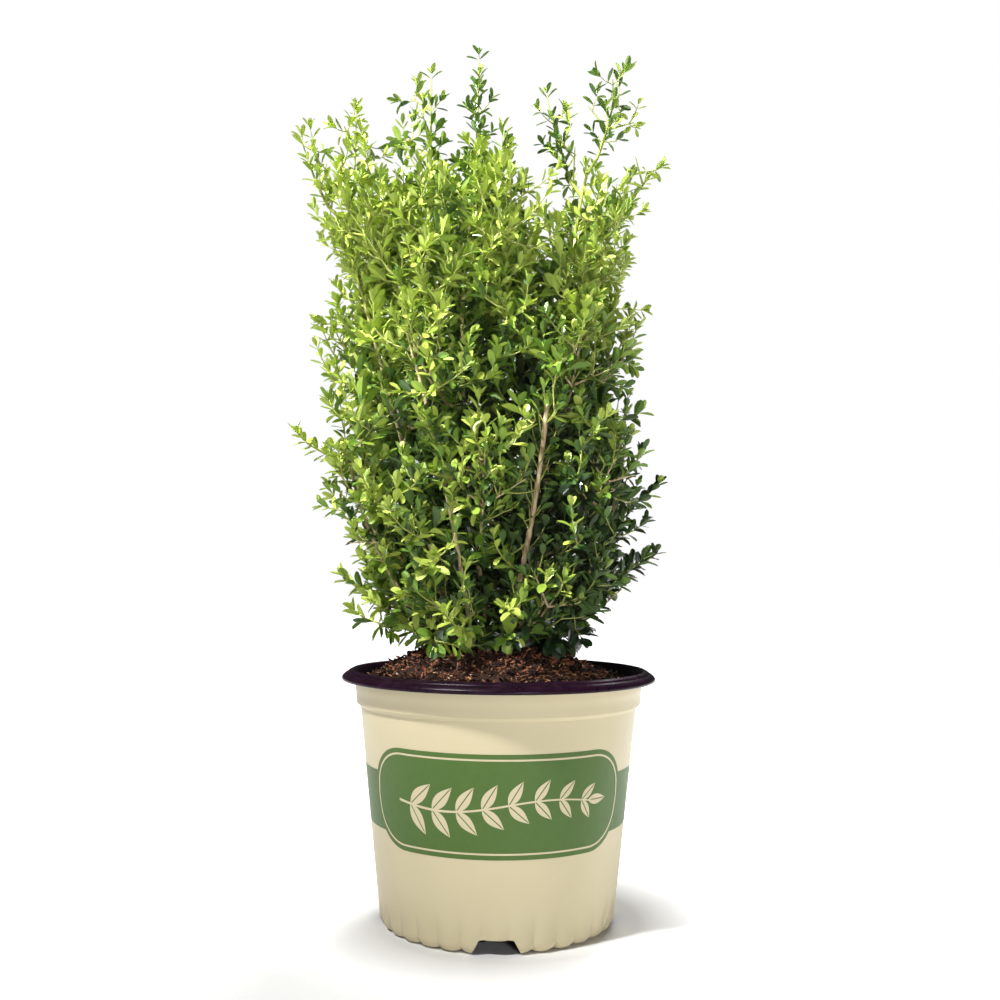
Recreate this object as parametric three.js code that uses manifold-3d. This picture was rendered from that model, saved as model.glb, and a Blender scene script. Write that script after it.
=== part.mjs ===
// A potted boxwood: a young evergreen shrub of eleven slender stems that fan out of one
// clump, leafy almost to the ground, in a fluted two-colour nursery pot heaped with bark mulch.
// Millimetres, +Z up, -Y towards the viewer. The origin is the centre of the pot's underside.

import * as THREE from 'three';
import { mergeVertices } from 'three/addons/utils/BufferGeometryUtils.js';
import Module from 'manifold-3d';

const wasm = await Module();
wasm.setup();

// Driving dimensions of the pot.
const CLEAR = 0.3; // the gap where one piece stands on, or lies against, another
const SIDES = 64; // facets round the outside of the pot
const INNER_SIDES = 32; // facets round its inside and the mulch
const RIM_SIDES = 44;
const WALL = 2; // the plastic's thickness
const FLOOR_RADIUS = 101;
const HEEL = { radius: 107.6, z: 8 }; // where the rounded heel runs into the wall
const WALL_DRAFT = 0.1056; // how much the radius grows for each millimetre of height
const COLLAR = { radius: 131.2, from: 194, to: 197.5 }; // the wall steps out under the rim
const WALL_TOP = { radius: 132.4, z: 213.7 };
// The rolled rim's section, from its inner foot out under the lip and back over the ridge.
const RIM_SECTION = [[130.2, 214], [135.1, 214], [140.5, 218.2], [144.2, 218], [145, 220],
  [143.8, 222.2], [137.3, 227.1], [134.7, 227.6]];
const FLUTES = { count: 32, depth: 1.6, top: 26 }; // scallops pressed into the heel
const CHANNEL = { count: 4, foot: 42, head: 29.3, height: 12.7, inner: 72 }; // drain arches
const DRAIN = { length: 16, width: 8, radius: 90 }; // the slot in each arch's roof

// Driving dimensions of the mulch: its slope from the wall up to the level top of the root
// ball, where the stems stand, and how much its lumps swell and lift.
const MOUND = { radius: 60, z: 246 };
const MULCH_SLOPE = [[129.7, 213], [118, 219], [101, 228], [86, 237], [72, 244.5]];
const LUMPS = { swell: 0.05, lift: 5 };

// Driving dimensions of the stems: foot on the mound, a place half-way along, top, and the
// thickness at both ends.
const STEMS = [
  { name: 'front_fork', foot: [2, -44], via: [26, -72, 352], top: [40, -96, 462], thick: [10, 7] },
  { name: 'front_left', foot: [-22, -46], via: [-48, -84, 392], top: [-84, -90, 530], thick: [7.5, 4.5] },
  { name: 'left_low', foot: [-52, -20], via: [-110, -34, 335], top: [-138, -34, 420], thick: [8, 4.5] },
  { name: 'left_leader', foot: [-38, -2], via: [-106, -24, 490], top: [-152, -20, 648], thick: [9, 4.5] },
  { name: 'centre_left', foot: [-18, 8], via: [-60, 2, 480], top: [-69, -4, 664], thick: [8.5, 4.5] },
  { name: 'centre', foot: [-6, -18], via: [-34, -50, 480], top: [-26, -22, 668], thick: [8.5, 4.5] },
  { name: 'right_leader', foot: [28, -10], via: [56, -30, 540], top: [80, -16, 694], thick: [10, 4.5] },
  { name: 'right_low', foot: [50, 2], via: [98, -2, 352], top: [118, 2, 440], thick: [7.5, 4.5] },
  { name: 'back_right', foot: [34, 32], via: [74, 70, 430], top: [92, 78, 580], thick: [8, 4.5] },
  { name: 'back', foot: [0, 46], via: [-8, 94, 440], top: [-18, 102, 590], thick: [8, 4.5] },
  { name: 'back_left', foot: [-36, 34], via: [-82, 72, 430], top: [-108, 84, 570], thick: [8, 4.5] },
];
const STEM_SIDES = 6;
const STEM_STEPS = 7;
const FLARE = { grow: 0.5, height: 14 }; // each stem swells towards its foot

// Driving dimensions of the crown: how far it reaches to the left, the right, and to the
// front and back, at each height.
const CROWN = [
  { z: 250, left: 92, right: 80, deep: 82 },
  { z: 312, left: 152, right: 145, deep: 126 },
  { z: 400, left: 174, right: 154, deep: 148 },
  { z: 450, left: 184, right: 140, deep: 152 },
  { z: 555, left: 178, right: 134, deep: 152 },
  { z: 660, left: 186, right: 132, deep: 142 },
  { z: 740, left: 202, right: 160, deep: 110 },
];
// Rings of leafy masses, from the skirt over the mulch to the shoulder under the leaders. Every
// second ring is turned half a step, and each ring's main twigs rise as they run out.
const TIERS = [
  { name: 'skirt', tip: 306, rise: 20, drop: 16, turned: false, core: 22 },
  { name: 'waist', tip: 432, rise: 58, drop: 46, turned: true, core: 28 },
  { name: 'middle', tip: 546, rise: 62, drop: 46, turned: false, core: 28 },
  { name: 'shoulder', tip: 654, rise: 64, drop: 46, turned: true, core: 27 },
];
const SIDES_STRAIGHT = ['right', 'back_right', 'back_left', 'left', 'front_left', 'front_right'];
const SIDES_TURNED = ['right_back', 'back', 'left_back', 'left_front', 'front', 'right_front'];
// The leaders that stand clear of the crown: the stem each grows on, how far up it, and its tip.
const LEADERS = [
  { name: 'leader_left', stem: 'left_leader', at: 1, tip: [-198, -24, 734] },
  { name: 'leader_inner_left', stem: 'left_leader', at: 0.86, tip: [-138, -22, 760] },
  { name: 'leader_centre_left', stem: 'centre_left', at: 1, tip: [-69, -6, 806] },
  { name: 'leader_centre', stem: 'centre', at: 1, tip: [-23, -14, 821] },
  { name: 'leader_right', stem: 'right_leader', at: 1, tip: [117, -10, 804] },
  { name: 'leader_inner_right', stem: 'right_leader', at: 0.88, tip: [36, -8, 785] },
  { name: 'leader_right_side', stem: 'right_leader', at: 0.76, tip: [162, -8, 714] },
  { name: 'leader_back', stem: 'back', at: 1, tip: [-36, 88, 752] },
  { name: 'leader_back_right', stem: 'back_right', at: 1, tip: [84, 74, 744] },
];

// Driving dimensions of twigs and leaves. One leaf here stands for a spray of real ones.
const SPINE = { thick: [5, 3.6], steps: 3, sag: 0.13 };
const TWIG = { thick: 3, angle: 56, lift: 0.1 };
const LEAF = { length: 48, width: 29, thick: 1.7, angle: 60, belly: 0.56, fold: 0.12 };
const LEAF_FACES = [[0, 2, 3], [1, 3, 2], [0, 4, 2], [0, 3, 4], [1, 2, 4], [1, 4, 3]];
// What is tried in turn where a twig or a leaf has little room.
const TWIG_SHARES = [1, 0.84, 0.7, 0.56];
const LEAF_SHARES = [1, 0.84, 0.7, 0.58];
// How a mass grows: the step between side twigs, their length, the leaves' size, where the
// pairs of leaves stand on a twig, and how many leaves are enough.
const FULL = { rung: 24, twig: 54, leaf: 1, pairs: [0.52, 0.84], most: 11 };
const SLIM = { rung: 22, twig: 34, leaf: 0.7, pairs: [0.8], most: 12 };
const TIP_LEAF = 0.8; // the leaves at the tip of a main twig are this much smaller
const SPACING = 1.2; // how far a leaf keeps from the border of the next mass's space
const LIMB_GAP = 0.8; // how far a twig or leaf keeps from any stem
const WITHIN = 0.93; // side twigs end inside this share of the crown's reach
const INSIDE = 0.42; // and they don't end further in than this
const REACH = 1.03; // and no leaf passes this share
const HEART = 0.37; // where along its main twig a mass has its core
const CORE_SHARES = [1, 0.85, 0.7, 0.55, 0.4, 0.25, 0.1]; // how far a core's corner may draw in
const CORE_REACH = 0.82; // how far out a core's corner may lie
// Where a main twig may leave a stem: places tried on each stem, least heights over the mound
// and below the twig's tip, clearances to other stems and twigs, and the favour a stem's top has.
const START = { places: 24, over: 16, under: 12, apart: 14, stemGap: 3, twigGap: 6, topFavour: 22 };

// Plain vector sums on [x, y, z].
const add = (a, b, k = 1) => [a[0] + b[0] * k, a[1] + b[1] * k, a[2] + b[2] * k];
const minus = (a, b) => add(a, b, -1);
const dot = (a, b) => a[0] * b[0] + a[1] * b[1] + a[2] * b[2];
const size = (a) => Math.sqrt(dot(a, a));
const unit = (a) => add([0, 0, 0], a, 1 / size(a));
const cross = (a, b) => [a[1] * b[2] - a[2] * b[1], a[2] * b[0] - a[0] * b[2], a[0] * b[1] - a[1] * b[0]];
const mix = (a, b, t) => a + (b - a) * t;
const blend = (a, b, t) => add(a, minus(b, a), t);
const radians = (degrees) => (degrees * Math.PI) / 180;
const UP = [0, 0, 1];

// Even random numbers from 0 to 1, the same on every run.
function seeded(seed) {
  let state = seed >>> 0;
  return () => {
    state = (state + 0x6d2b79f5) >>> 0;
    let mixed = Math.imul(state ^ (state >>> 15), state | 1);
    mixed ^= mixed + Math.imul(mixed ^ (mixed >>> 7), mixed | 61);
    return ((mixed ^ (mixed >>> 14)) >>> 0) / 4294967296;
  };
}

// A bent line from a to c that passes through b half-way.
function bend(a, b, c) {
  const pull = add(add(b, b), blend(a, c, 0.5), -1);
  return (t) => blend(blend(a, pull, t), blend(pull, c, t), t);
}

// The same line in straight steps, which is how its solid runs.
function stepped(line, steps) {
  return (t) => {
    const i = Math.min(steps - 1, Math.floor(t * steps));
    return blend(line(i / steps), line((i + 1) / steps), t * steps - i);
  };
}

function chainOf(line, steps) {
  return Array.from({ length: steps + 1 }, (_, i) => line(i / steps));
}

// Distance from a point to the nearest of a chain of points, and how far along it that is.
function along(chain, point) {
  let best = { distance: Infinity, t: 0 };
  for (let i = 0; i + 1 < chain.length; i++) {
    const step = minus(chain[i + 1], chain[i]);
    const share = Math.min(1, Math.max(0, dot(minus(point, chain[i]), step) / dot(step, step)));
    const distance = size(minus(point, add(chain[i], step, share)));
    if (distance < best.distance) best = { distance, t: (i + share) / (chain.length - 1) };
  }
  return best;
}

// A closed mesh as a solid, with its faces turned outwards.
function solid(geometry) {
  const bare = geometry.clone();
  for (const name of Object.keys(bare.attributes)) if (name !== 'position') bare.deleteAttribute(name);
  const merged = mergeVertices(bare, 1e-4);
  const corners = [...merged.index.array];
  const triangles = [];
  for (let i = 0; i < corners.length; i += 3) {
    const [a, b, c] = corners.slice(i, i + 3);
    if (a !== b && b !== c && c !== a) triangles.push(a, b, c);
  }
  const make = (list) =>
    new wasm.Manifold(
      new wasm.Mesh({
        numProp: 3,
        vertProperties: new Float32Array(merged.attributes.position.array),
        triVerts: new Uint32Array(list),
      }),
    );
  const made = make(triangles);
  return made.volume() > 0 ? made : make(triangles.reverse());
}

// A solid back as a mesh's geometry.
function geometryOf(shape) {
  const mesh = shape.getMesh();
  const geometry = new THREE.BufferGeometry();
  geometry.setAttribute('position', new THREE.BufferAttribute(new Float32Array(mesh.vertProperties), 3));
  geometry.setIndex(new THREE.BufferAttribute(new Uint32Array(mesh.triVerts), 1));
  geometry.computeVertexNormals();
  return geometry;
}

// Moves every corner of a geometry by a rule on [x, y, z].
function reshape(geometry, rule) {
  const position = geometry.attributes.position;
  for (let i = 0; i < position.count; i++) {
    position.setXYZ(i, ...rule([position.getX(i), position.getY(i), position.getZ(i)]));
  }
  return geometry;
}

// A turned shape: the profile's points are [radius, height].
function turned(profile, sides) {
  const points = profile.map(([radius, z]) => new THREE.Vector2(radius, z));
  return new THREE.LatheGeometry(points, sides).rotateX(Math.PI / 2);
}

// Which way a line runs at a point on it.
function headingAt(line, t) {
  return unit(minus(line(Math.min(1, t + 0.02)), line(Math.max(0, t - 0.02))));
}

// A round limb that follows a line, with its own thickness at each point.
function limb(line, radius, sides, steps) {
  const across = unit(cross(unit(minus(line(1), line(0))), [0.3, 1, 0.05]));
  return reshape(new THREE.CylinderGeometry(1, 1, 1, sides, steps), ([x, y, z]) => {
    const t = y + 0.5;
    const heading = headingAt(line, t);
    const side = unit(add(across, heading, -dot(across, heading)));
    const reach = radius(t);
    return add(add(line(t), side, x * reach), cross(heading, side), z * reach);
  });
}

// The pot.

const wallRadius = (z) => HEEL.radius + (z - HEEL.z) * WALL_DRAFT;

function potShell() {
  const outside = turned(
    [
      [0, 0],
      [FLOOR_RADIUS, 0],
      [HEEL.radius, HEEL.z],
      [wallRadius(FLUTES.top), FLUTES.top],
      [wallRadius(COLLAR.from), COLLAR.from],
      [COLLAR.radius, COLLAR.to],
      [WALL_TOP.radius, WALL_TOP.z],
      [0, WALL_TOP.z],
    ],
    SIDES,
  );
  reshape(outside, ([x, y, z]) => {
    const valley = Math.round((Math.atan2(y, x) / Math.PI) * FLUTES.count) % 2 !== 0;
    const fade = valley && Math.hypot(x, y) > 1 ? Math.max(0, 1 - z / FLUTES.top) : 0;
    const keep = 1 - (FLUTES.depth * fade) / FLOOR_RADIUS;
    return [x * keep, y * keep, z];
  });
  const arches = channels(0, -1, CHANNEL.inner);
  return solid(outside)
    .subtract(potInside(WALL, 1).subtract(channels(WALL, -1, CHANNEL.inner - WALL)))
    .subtract(arches)
    .subtract(drainSlots());
}

// The space inside the wall, or a filling that keeps a gap to it.
function potInside(gap, above) {
  return solid(
    turned(
      [
        [0, gap],
        [FLOOR_RADIUS - gap, gap],
        [HEEL.radius - gap - 0.4, HEEL.z + gap],
        [wallRadius(COLLAR.from) - gap, COLLAR.from],
        [WALL_TOP.radius - gap, WALL_TOP.z],
        [WALL_TOP.radius - gap, WALL_TOP.z + above],
        [0, WALL_TOP.z + above],
      ],
      INNER_SIDES,
    ),
  );
}

// The arches that run in from the heel to drain the pot, grown by a margin for their roofs.
function channels(margin, below, inner) {
  const foot = CHANNEL.foot / 2 + margin;
  const head = CHANNEL.head / 2 + margin;
  const top = CHANNEL.height + margin;
  const section = new THREE.Shape();
  section.moveTo(-foot, below);
  section.lineTo(foot, below);
  section.lineTo(foot, 0);
  section.lineTo(head, top);
  section.lineTo(-head, top);
  section.lineTo(-foot, 0);
  section.closePath();
  const made = [];
  for (let i = 0; i < CHANNEL.count; i++) {
    const bar = new THREE.ExtrudeGeometry(section, { depth: HEEL.radius + 6 - inner, bevelEnabled: false });
    bar.rotateX(Math.PI / 2).translate(0, -inner, 0);
    bar.rotateZ((i * 2 * Math.PI) / CHANNEL.count);
    made.push(solid(bar));
  }
  return wasm.Manifold.union(made);
}

function drainSlots() {
  const made = [];
  for (let i = 0; i < CHANNEL.count; i++) {
    const slot = new THREE.BoxGeometry(DRAIN.width, DRAIN.length, 3 * WALL);
    slot.translate(0, -DRAIN.radius, CHANNEL.height + WALL / 2);
    slot.rotateZ((i * 2 * Math.PI) / CHANNEL.count);
    made.push(solid(slot));
  }
  return wasm.Manifold.union(made);
}

function potRim() {
  return solid(turned([...RIM_SECTION, RIM_SECTION[0]], RIM_SIDES));
}

// Bark mulch fills the pot and is heaped round the stems, lumpy but level where they stand.
function mulch() {
  const random = seeded(7);
  const inner = (z) => wallRadius(z) - WALL - CLEAR;
  const foot = WALL + CLEAR;
  const profile = [
    [0, foot],
    [FLOOR_RADIUS - foot, foot],
    [inner(HEEL.z) - 1, HEEL.z + foot],
    [inner(COLLAR.from), COLLAR.from],
    ...MULCH_SLOPE,
    [MOUND.radius, MOUND.z],
    [0, MOUND.z],
  ];
  const lumps = new Map();
  const heap = reshape(turned(profile, INNER_SIDES), ([x, y, z]) => {
    if (z <= MULCH_SLOPE[0][1] || z >= MOUND.z) return [x, y, z];
    const key = `${Math.round(x)} ${Math.round(y)}`;
    if (!lumps.has(key)) lumps.set(key, [random() - 0.5, random() - 0.5]);
    const [swell, lift] = lumps.get(key);
    const grow = 1 + swell * LUMPS.swell;
    return [x * grow, y * grow, z + lift * LUMPS.lift];
  });
  return solid(heap).subtract(channels(foot, -1, CHANNEL.inner - foot));
}

// The stems.

function stemRadius(stem, t) {
  const taper = mix(stem.thick[0], stem.thick[1], Math.pow(t, 0.85)) / 2;
  const height = stem.line(t)[2] - MOUND.z;
  return taper * (1 + FLARE.grow * Math.exp(-height / FLARE.height));
}

function planStems() {
  return STEMS.map((row) => {
    const line = stepped(bend([...row.foot, MOUND.z - 3], row.via, row.top), STEM_STEPS);
    return { ...row, line, chain: chainOf(line, STEM_STEPS) };
  });
}

// A stem, or the same shape grown by a gap. Its foot is cut level, on top of the mound.
function stemSolid(stem, gap = 0) {
  const grown = gap / Math.cos(Math.PI / STEM_SIDES);
  const shape = limb(stem.line, (t) => stemRadius(stem, t) + grown, STEM_SIDES, STEM_STEPS);
  return solid(shape).trimByPlane(UP, MOUND.z + CLEAR);
}

// The crown's reach at a height, to the right or left, and to the front and back.
function reachAt(z, x) {
  let i = 0;
  while (i < CROWN.length - 2 && z > CROWN[i + 1].z) i++;
  const [low, high] = [CROWN[i], CROWN[i + 1]];
  const t = Math.min(1, Math.max(0, (z - low.z) / (high.z - low.z)));
  const wide = x < 0 ? mix(low.left, high.left, t) : mix(low.right, high.right, t);
  return [wide, mix(low.deep, high.deep, t)];
}

// How far out a point lies, as a share of the crown's reach.
function outness([x, y, z]) {
  const [wide, deep] = reachAt(z, x);
  return Math.hypot(x / wide, y / deep);
}

// The main twig of a mass: it leaves its stem low and curves up, and ends one leaf short of
// the mass's tip.
function spineLine(start, tip, habit) {
  const reach = minus(tip, start);
  const end = add(tip, unit(reach), -LEAF.length * habit.leaf * TIP_LEAF * 0.9);
  const middle = blend(start, end, 0.5);
  const low = [middle[0], middle[1], middle[2] - SPINE.sag * size(reach)];
  return stepped(bend(start, low, end), SPINE.steps);
}

// The masses of foliage. Each leader has its stem given; each mass of a tier takes the
// nearest free place on any stem from which its main twig passes clear of the others.
function planMasses(stems) {
  const masses = LEADERS.map((row, i) => {
    const host = stems.find((stem) => stem.name === row.stem);
    return planMass({ ...row, seed: 100 + i, host, habit: SLIM, core: 0 });
  });
  TIERS.forEach((tier, level) => {
    const names = tier.turned ? SIDES_TURNED : SIDES_STRAIGHT;
    names.forEach((side, i) => {
      const seed = 1000 + level * 10 + i;
      const random = seeded(seed);
      const angle = radians((i + (tier.turned ? 0.5 : 0)) * 60 + (random() - 0.5) * 10);
      const z = tier.tip + (random() - 0.5) * 22;
      const reach = reachAt(z, Math.cos(angle));
      const push = 0.98 + random() * 0.05;
      const tip = [Math.cos(angle) * reach[0] * push, Math.sin(angle) * reach[1] * push, z];
      const wish = [tip[0] * 0.3, tip[1] * 0.3, z - tier.rise - tier.drop];
      const place = freePlace(stems, masses, wish, tip);
      const name = `${tier.name}_${side}`;
      masses.push(planMass({ ...place, name, seed, tip, habit: FULL, core: tier.core }));
    });
  });
  return masses;
}

function planMass(mass) {
  const line = spineLine(mass.host.line(mass.at), mass.tip, mass.habit);
  return { ...mass, line, chain: chainOf(line, SPINE.steps) };
}

// The nearest place to the wished one from which a main twig runs clear to its tip.
function freePlace(stems, masses, wish, tip) {
  const places = [];
  for (const host of stems) {
    for (let k = 1; k <= START.places; k++) {
      const at = k / START.places;
      const start = host.line(at);
      if (start[2] < MOUND.z + START.over || start[2] > tip[2] - START.under) continue;
      places.push({ host, at, start, cost: size(minus(start, wish)) - (at === 1 ? START.topFavour : 0) });
    }
  }
  places.sort((a, b) => a.cost - b.cost);
  return places.find(({ host, start }) => {
    const others = stems.filter((stem) => stem !== host);
    const chain = chainOf(spineLine(start, tip, FULL), 16);
    const fromTwigs = (point) => masses.every((mass) => along(mass.chain, point).distance > START.twigGap);
    return (
      masses.every((mass) => size(minus(mass.line(0), start)) > START.apart) &&
      chain.every((point) => clearOfStems(others, point, START.stemGap)) &&
      chain.slice(2).every(fromTwigs) &&
      chain.slice(5).every((point) => clearOfStems([host], point, START.stemGap))
    );
  });
}

function clearOfStems(stems, point, gap) {
  return stems.every((stem) => {
    const { distance, t } = along(stem.chain, point);
    return distance > stemRadius(stem, t) + gap;
  });
}

// Whether a point lies in a mass's own space: nearer its main twig than any other's, inside
// the crown's reach, clear of the stems and over the mulch.
function inSpace(mass, masses, stems, point) {
  if (point[2] < MOUND.z + 4 || !clearOfStems(stems, point, LIMB_GAP)) return false;
  const own = along(mass.chain, point).distance;
  return masses.every((other) => other === mass || along(other.chain, point).distance > own + 2 * SPACING);
}

// Places on a leaf: down its midrib and along both of its edges.
function leafPlaces({ root, heading, face, length, width }) {
  const side = cross(heading, face);
  const places = [];
  for (let u = 0.1; u < 1.05; u += 0.1) {
    const half = (width / 2) * Math.min(u / LEAF.belly, (1 - u) / (1 - LEAF.belly));
    const middle = add(root, heading, u * length);
    for (const share of [-1, -0.5, 0, 0.5, 1]) {
      const lift = Math.abs(share * half) * 2 * LEAF.fold;
      places.push(add(add(middle, side, share * half), face, lift));
    }
  }
  return places;
}

// Grows one mass: side twigs leave the main twig in opposite pairs, each pair a quarter turn
// round from the last, and leaves stand on every twig in the same order. Where a twig has no
// room, one leaf takes its place.
function growMass(mass, masses, stems) {
  const random = seeded(mass.seed);
  const { rung, twig, leaf, pairs, most } = mass.habit;
  const twigs = [];
  const leaves = [];
  const heart = mass.line(HEART);
  const free = (point) => inSpace(mass, masses, stems, point);
  const buried = (point) => size(minus(point, heart)) < mass.core * 0.9;

  const addLeaf = (root, axis, turn, angle, grow) => {
    const heading = add(add([0, 0, 0], axis, Math.cos(angle)), sideOf(axis, turn), Math.sin(angle));
    const face = unit(add(axis, heading, -dot(axis, heading)));
    for (const share of LEAF_SHARES) {
      const scale = grow * share * leaf;
      const made = { root, heading, face, length: LEAF.length * scale, width: LEAF.width * scale };
      if (leafPlaces(made).every((place) => free(place) && outness(place) < REACH)) {
        leaves.push(made);
        return;
      }
    }
  };
  const addPair = (root, axis, turn, angle, grow) => {
    if (buried(root)) return;
    addLeaf(root, axis, turn, angle, grow);
    addLeaf(root, axis, turn + Math.PI, angle, grow);
  };
  const addTwig = (base, heading, turn, t) => {
    const open = radians(TWIG.angle + (random() - 0.5) * 16);
    const side = add(add([0, 0, 0], heading, Math.cos(open)), sideOf(heading, turn), Math.sin(open));
    const out = unit(add(side, UP, TWIG.lift));
    const wanted = twig * (1.1 - 0.4 * t) * mix(0.85, 1.1, random());
    const leafTurn = random() * Math.PI;
    const grow = mix(0.9, 1.1, random());
    const room = (length) => {
      const end = outness(add(base, out, length));
      const path = chainOf((u) => add(base, out, length * mix(0.15, 1, u)), 8);
      return end < WITHIN && end > INSIDE && path.every(free);
    };
    const length = TWIG_SHARES.map((share) => share * wanted).find(room);
    if (!length) {
      if (!buried(base)) addLeaf(base, heading, turn, radians(LEAF.angle), grow);
      return;
    }
    const before = leaves.length;
    pairs.forEach((share, n) => {
      const angle = radians(LEAF.angle - n * 16);
      addPair(add(base, out, length * share), out, leafTurn + (n * Math.PI) / 2, angle, grow);
    });
    if (leaves.length > before) twigs.push({ from: base, to: add(base, out, length) });
  };

  const turn0 = random() * Math.PI;
  addPair(mass.line(0.98), headingAt(mass.line, 1), turn0, radians(LEAF.angle - 30), TIP_LEAF);
  const rungs = Math.max(3, Math.round(size(minus(mass.line(1), mass.line(0))) / rung));
  for (let k = 0; k < rungs && leaves.length < most; k++) {
    const t = mix(0.86, 0.26, k / (rungs - 1));
    const turn = turn0 + ((k + 1) * Math.PI) / 2 + (random() - 0.5) * 0.6;
    addTwig(mass.line(t), headingAt(mass.line, t), turn, t);
    addTwig(mass.line(t), headingAt(mass.line, t), turn + Math.PI, t);
  }
  return { twigs, leaves };
}

// The direction at right angles to an axis, turned round it.
function sideOf(axis, turn) {
  const flat = unit(cross(axis, [0.31, 0.2, 0.93]));
  return add(add([0, 0, 0], flat, Math.cos(turn)), cross(axis, flat), Math.sin(turn));
}

// A leaf: a thin kite rooted in the middle of its twig, its halves folded up a little and a
// keel along its back.
function leafSolid({ root, heading, face, length, width }) {
  const side = cross(heading, face);
  const belly = add(root, heading, length * LEAF.belly);
  const fold = (half) => add(add(belly, side, (half * width) / 2), face, width * LEAF.fold);
  const corners = [root, add(root, heading, length), fold(-1), fold(1), add(belly, face, -LEAF.thick)];
  const kite = new THREE.BufferGeometry();
  kite.setAttribute('position', new THREE.Float32BufferAttribute(corners.flat(), 3));
  kite.setIndex(LEAF_FACES.flat());
  return solid(kite);
}

// A side twig: a three-sided spindle, thickest near its root.
function twigSolid({ from, to }) {
  const heading = unit(minus(to, from));
  const flat = unit(cross(heading, [0.31, 0.2, 0.93]));
  const shape = reshape(new THREE.ConeGeometry(1, 1, 3), ([x, y, z]) => {
    const rooted = Math.hypot(x, z) < 0.5 && y < 0;
    const t = y > 0 ? 1 : rooted ? 0 : 0.12;
    const place = add(blend(from, to, t), flat, (x * TWIG.thick) / 2);
    return add(place, cross(heading, flat), (z * TWIG.thick) / 2);
  });
  return solid(shape);
}

// The dense heart of a mass, that its leaves stand out of. It is cut flat wherever a stem
// passes, so that every stem stays whole.
function coreSolid(mass, masses, stems) {
  const random = seeded(mass.seed + 500);
  const heart = mass.line(HEART);
  const lump = new THREE.IcosahedronGeometry(1, 1);
  lump.deleteAttribute('normal');
  lump.deleteAttribute('uv');
  const shape = reshape(mergeVertices(lump), ([x, y, z]) => {
    const wanted = mass.core * mix(0.78, 1.2, random());
    const share = CORE_SHARES.find((s) => {
      const place = add(heart, [x, y, z * 1.2], wanted * s);
      const own = along(mass.chain, place).distance + 2 * SPACING;
      const mine = masses.every((other) => other === mass || along(other.chain, place).distance > own);
      return mine && outness(place) < CORE_REACH && place[2] > MOUND.z + 6;
    });
    return add(heart, [x, y, z * 1.2], wanted * (share ?? CORE_SHARES.at(-1)));
  });
  return stems.reduce((core, stem) => {
    const { distance, t } = along(stem.chain, heart);
    const away = unit(minus(heart, stem.line(t)));
    const clear = dot(away, stem.line(t)) + stemRadius(stem, t) + LIMB_GAP + 0.8;
    return distance < mass.core * 2 ? core.trimByPlane(away, clear) : core;
  }, solid(shape));
}

// The main twig of a mass: it stands on its stem's top, or leaves the stem's flank, with a gap.
function spineSolid({ host, at, line }) {
  const whole = solid(limb(line, (t) => mix(...SPINE.thick, t) / 2, 3, SPINE.steps));
  if (at < 1) return largest(whole.subtract(stemSolid(host, CLEAR)));
  const up = headingAt(host.line, 1);
  return whole.trimByPlane(up, dot(up, host.line(1)) + CLEAR);
}

function largest(shape) {
  return shape.decompose().reduce((most, body) => (body.volume() > most.volume() ? body : most));
}

function massSolid(mass, masses, stems) {
  const { twigs, leaves } = growMass(mass, masses, stems);
  const pieces = [spineSolid(mass), ...twigs.map(twigSolid), ...leaves.map(leafSolid)];
  if (mass.core) pieces.push(coreSolid(mass, masses, stems));
  return largest(wasm.Manifold.union(pieces));
}

// Looks, as the photograph shows them.
const CREAM_PLASTIC = { color: 0xd6caa4, roughness: 0.5 };
const PLUM_PLASTIC = { color: 0x241621, roughness: 0.35 };
const BARK_MULCH = { color: 0x5d3522, roughness: 0.95 };
const BARK = { color: 0xb59a6a, roughness: 0.85 };
const NEW_GROWTH = { color: 0x9cc22e, roughness: 0.5 };
const MID_GROWTH = { color: 0x5f8f28, roughness: 0.45 };
const OLD_GROWTH = { color: 0x34601f, roughness: 0.4 };
const LOOK_OF = {
  leader: NEW_GROWTH,
  shoulder: MID_GROWTH,
  middle: MID_GROWTH,
  waist: OLD_GROWTH,
  skirt: OLD_GROWTH,
};

const boxwood = new THREE.Group();

function place(name, shape, look) {
  const mesh = new THREE.Mesh(geometryOf(shape), new THREE.MeshStandardMaterial(look));
  mesh.name = name;
  boxwood.add(mesh);
}

const stems = planStems();
const masses = planMasses(stems);
place('pot', potShell(), CREAM_PLASTIC);
place('pot_rim', potRim(), PLUM_PLASTIC);
place('mulch', mulch(), BARK_MULCH);
for (const stem of stems) place(`stem_${stem.name}`, stemSolid(stem), BARK);
for (const mass of masses) {
  place(mass.name, massSolid(mass, masses, stems), LOOK_OF[mass.name.split('_')[0]]);
}

export default boxwood;
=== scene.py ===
import math

import bmesh
import bpy
import numpy as np
from mathutils import Matrix, Vector, noise


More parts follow.
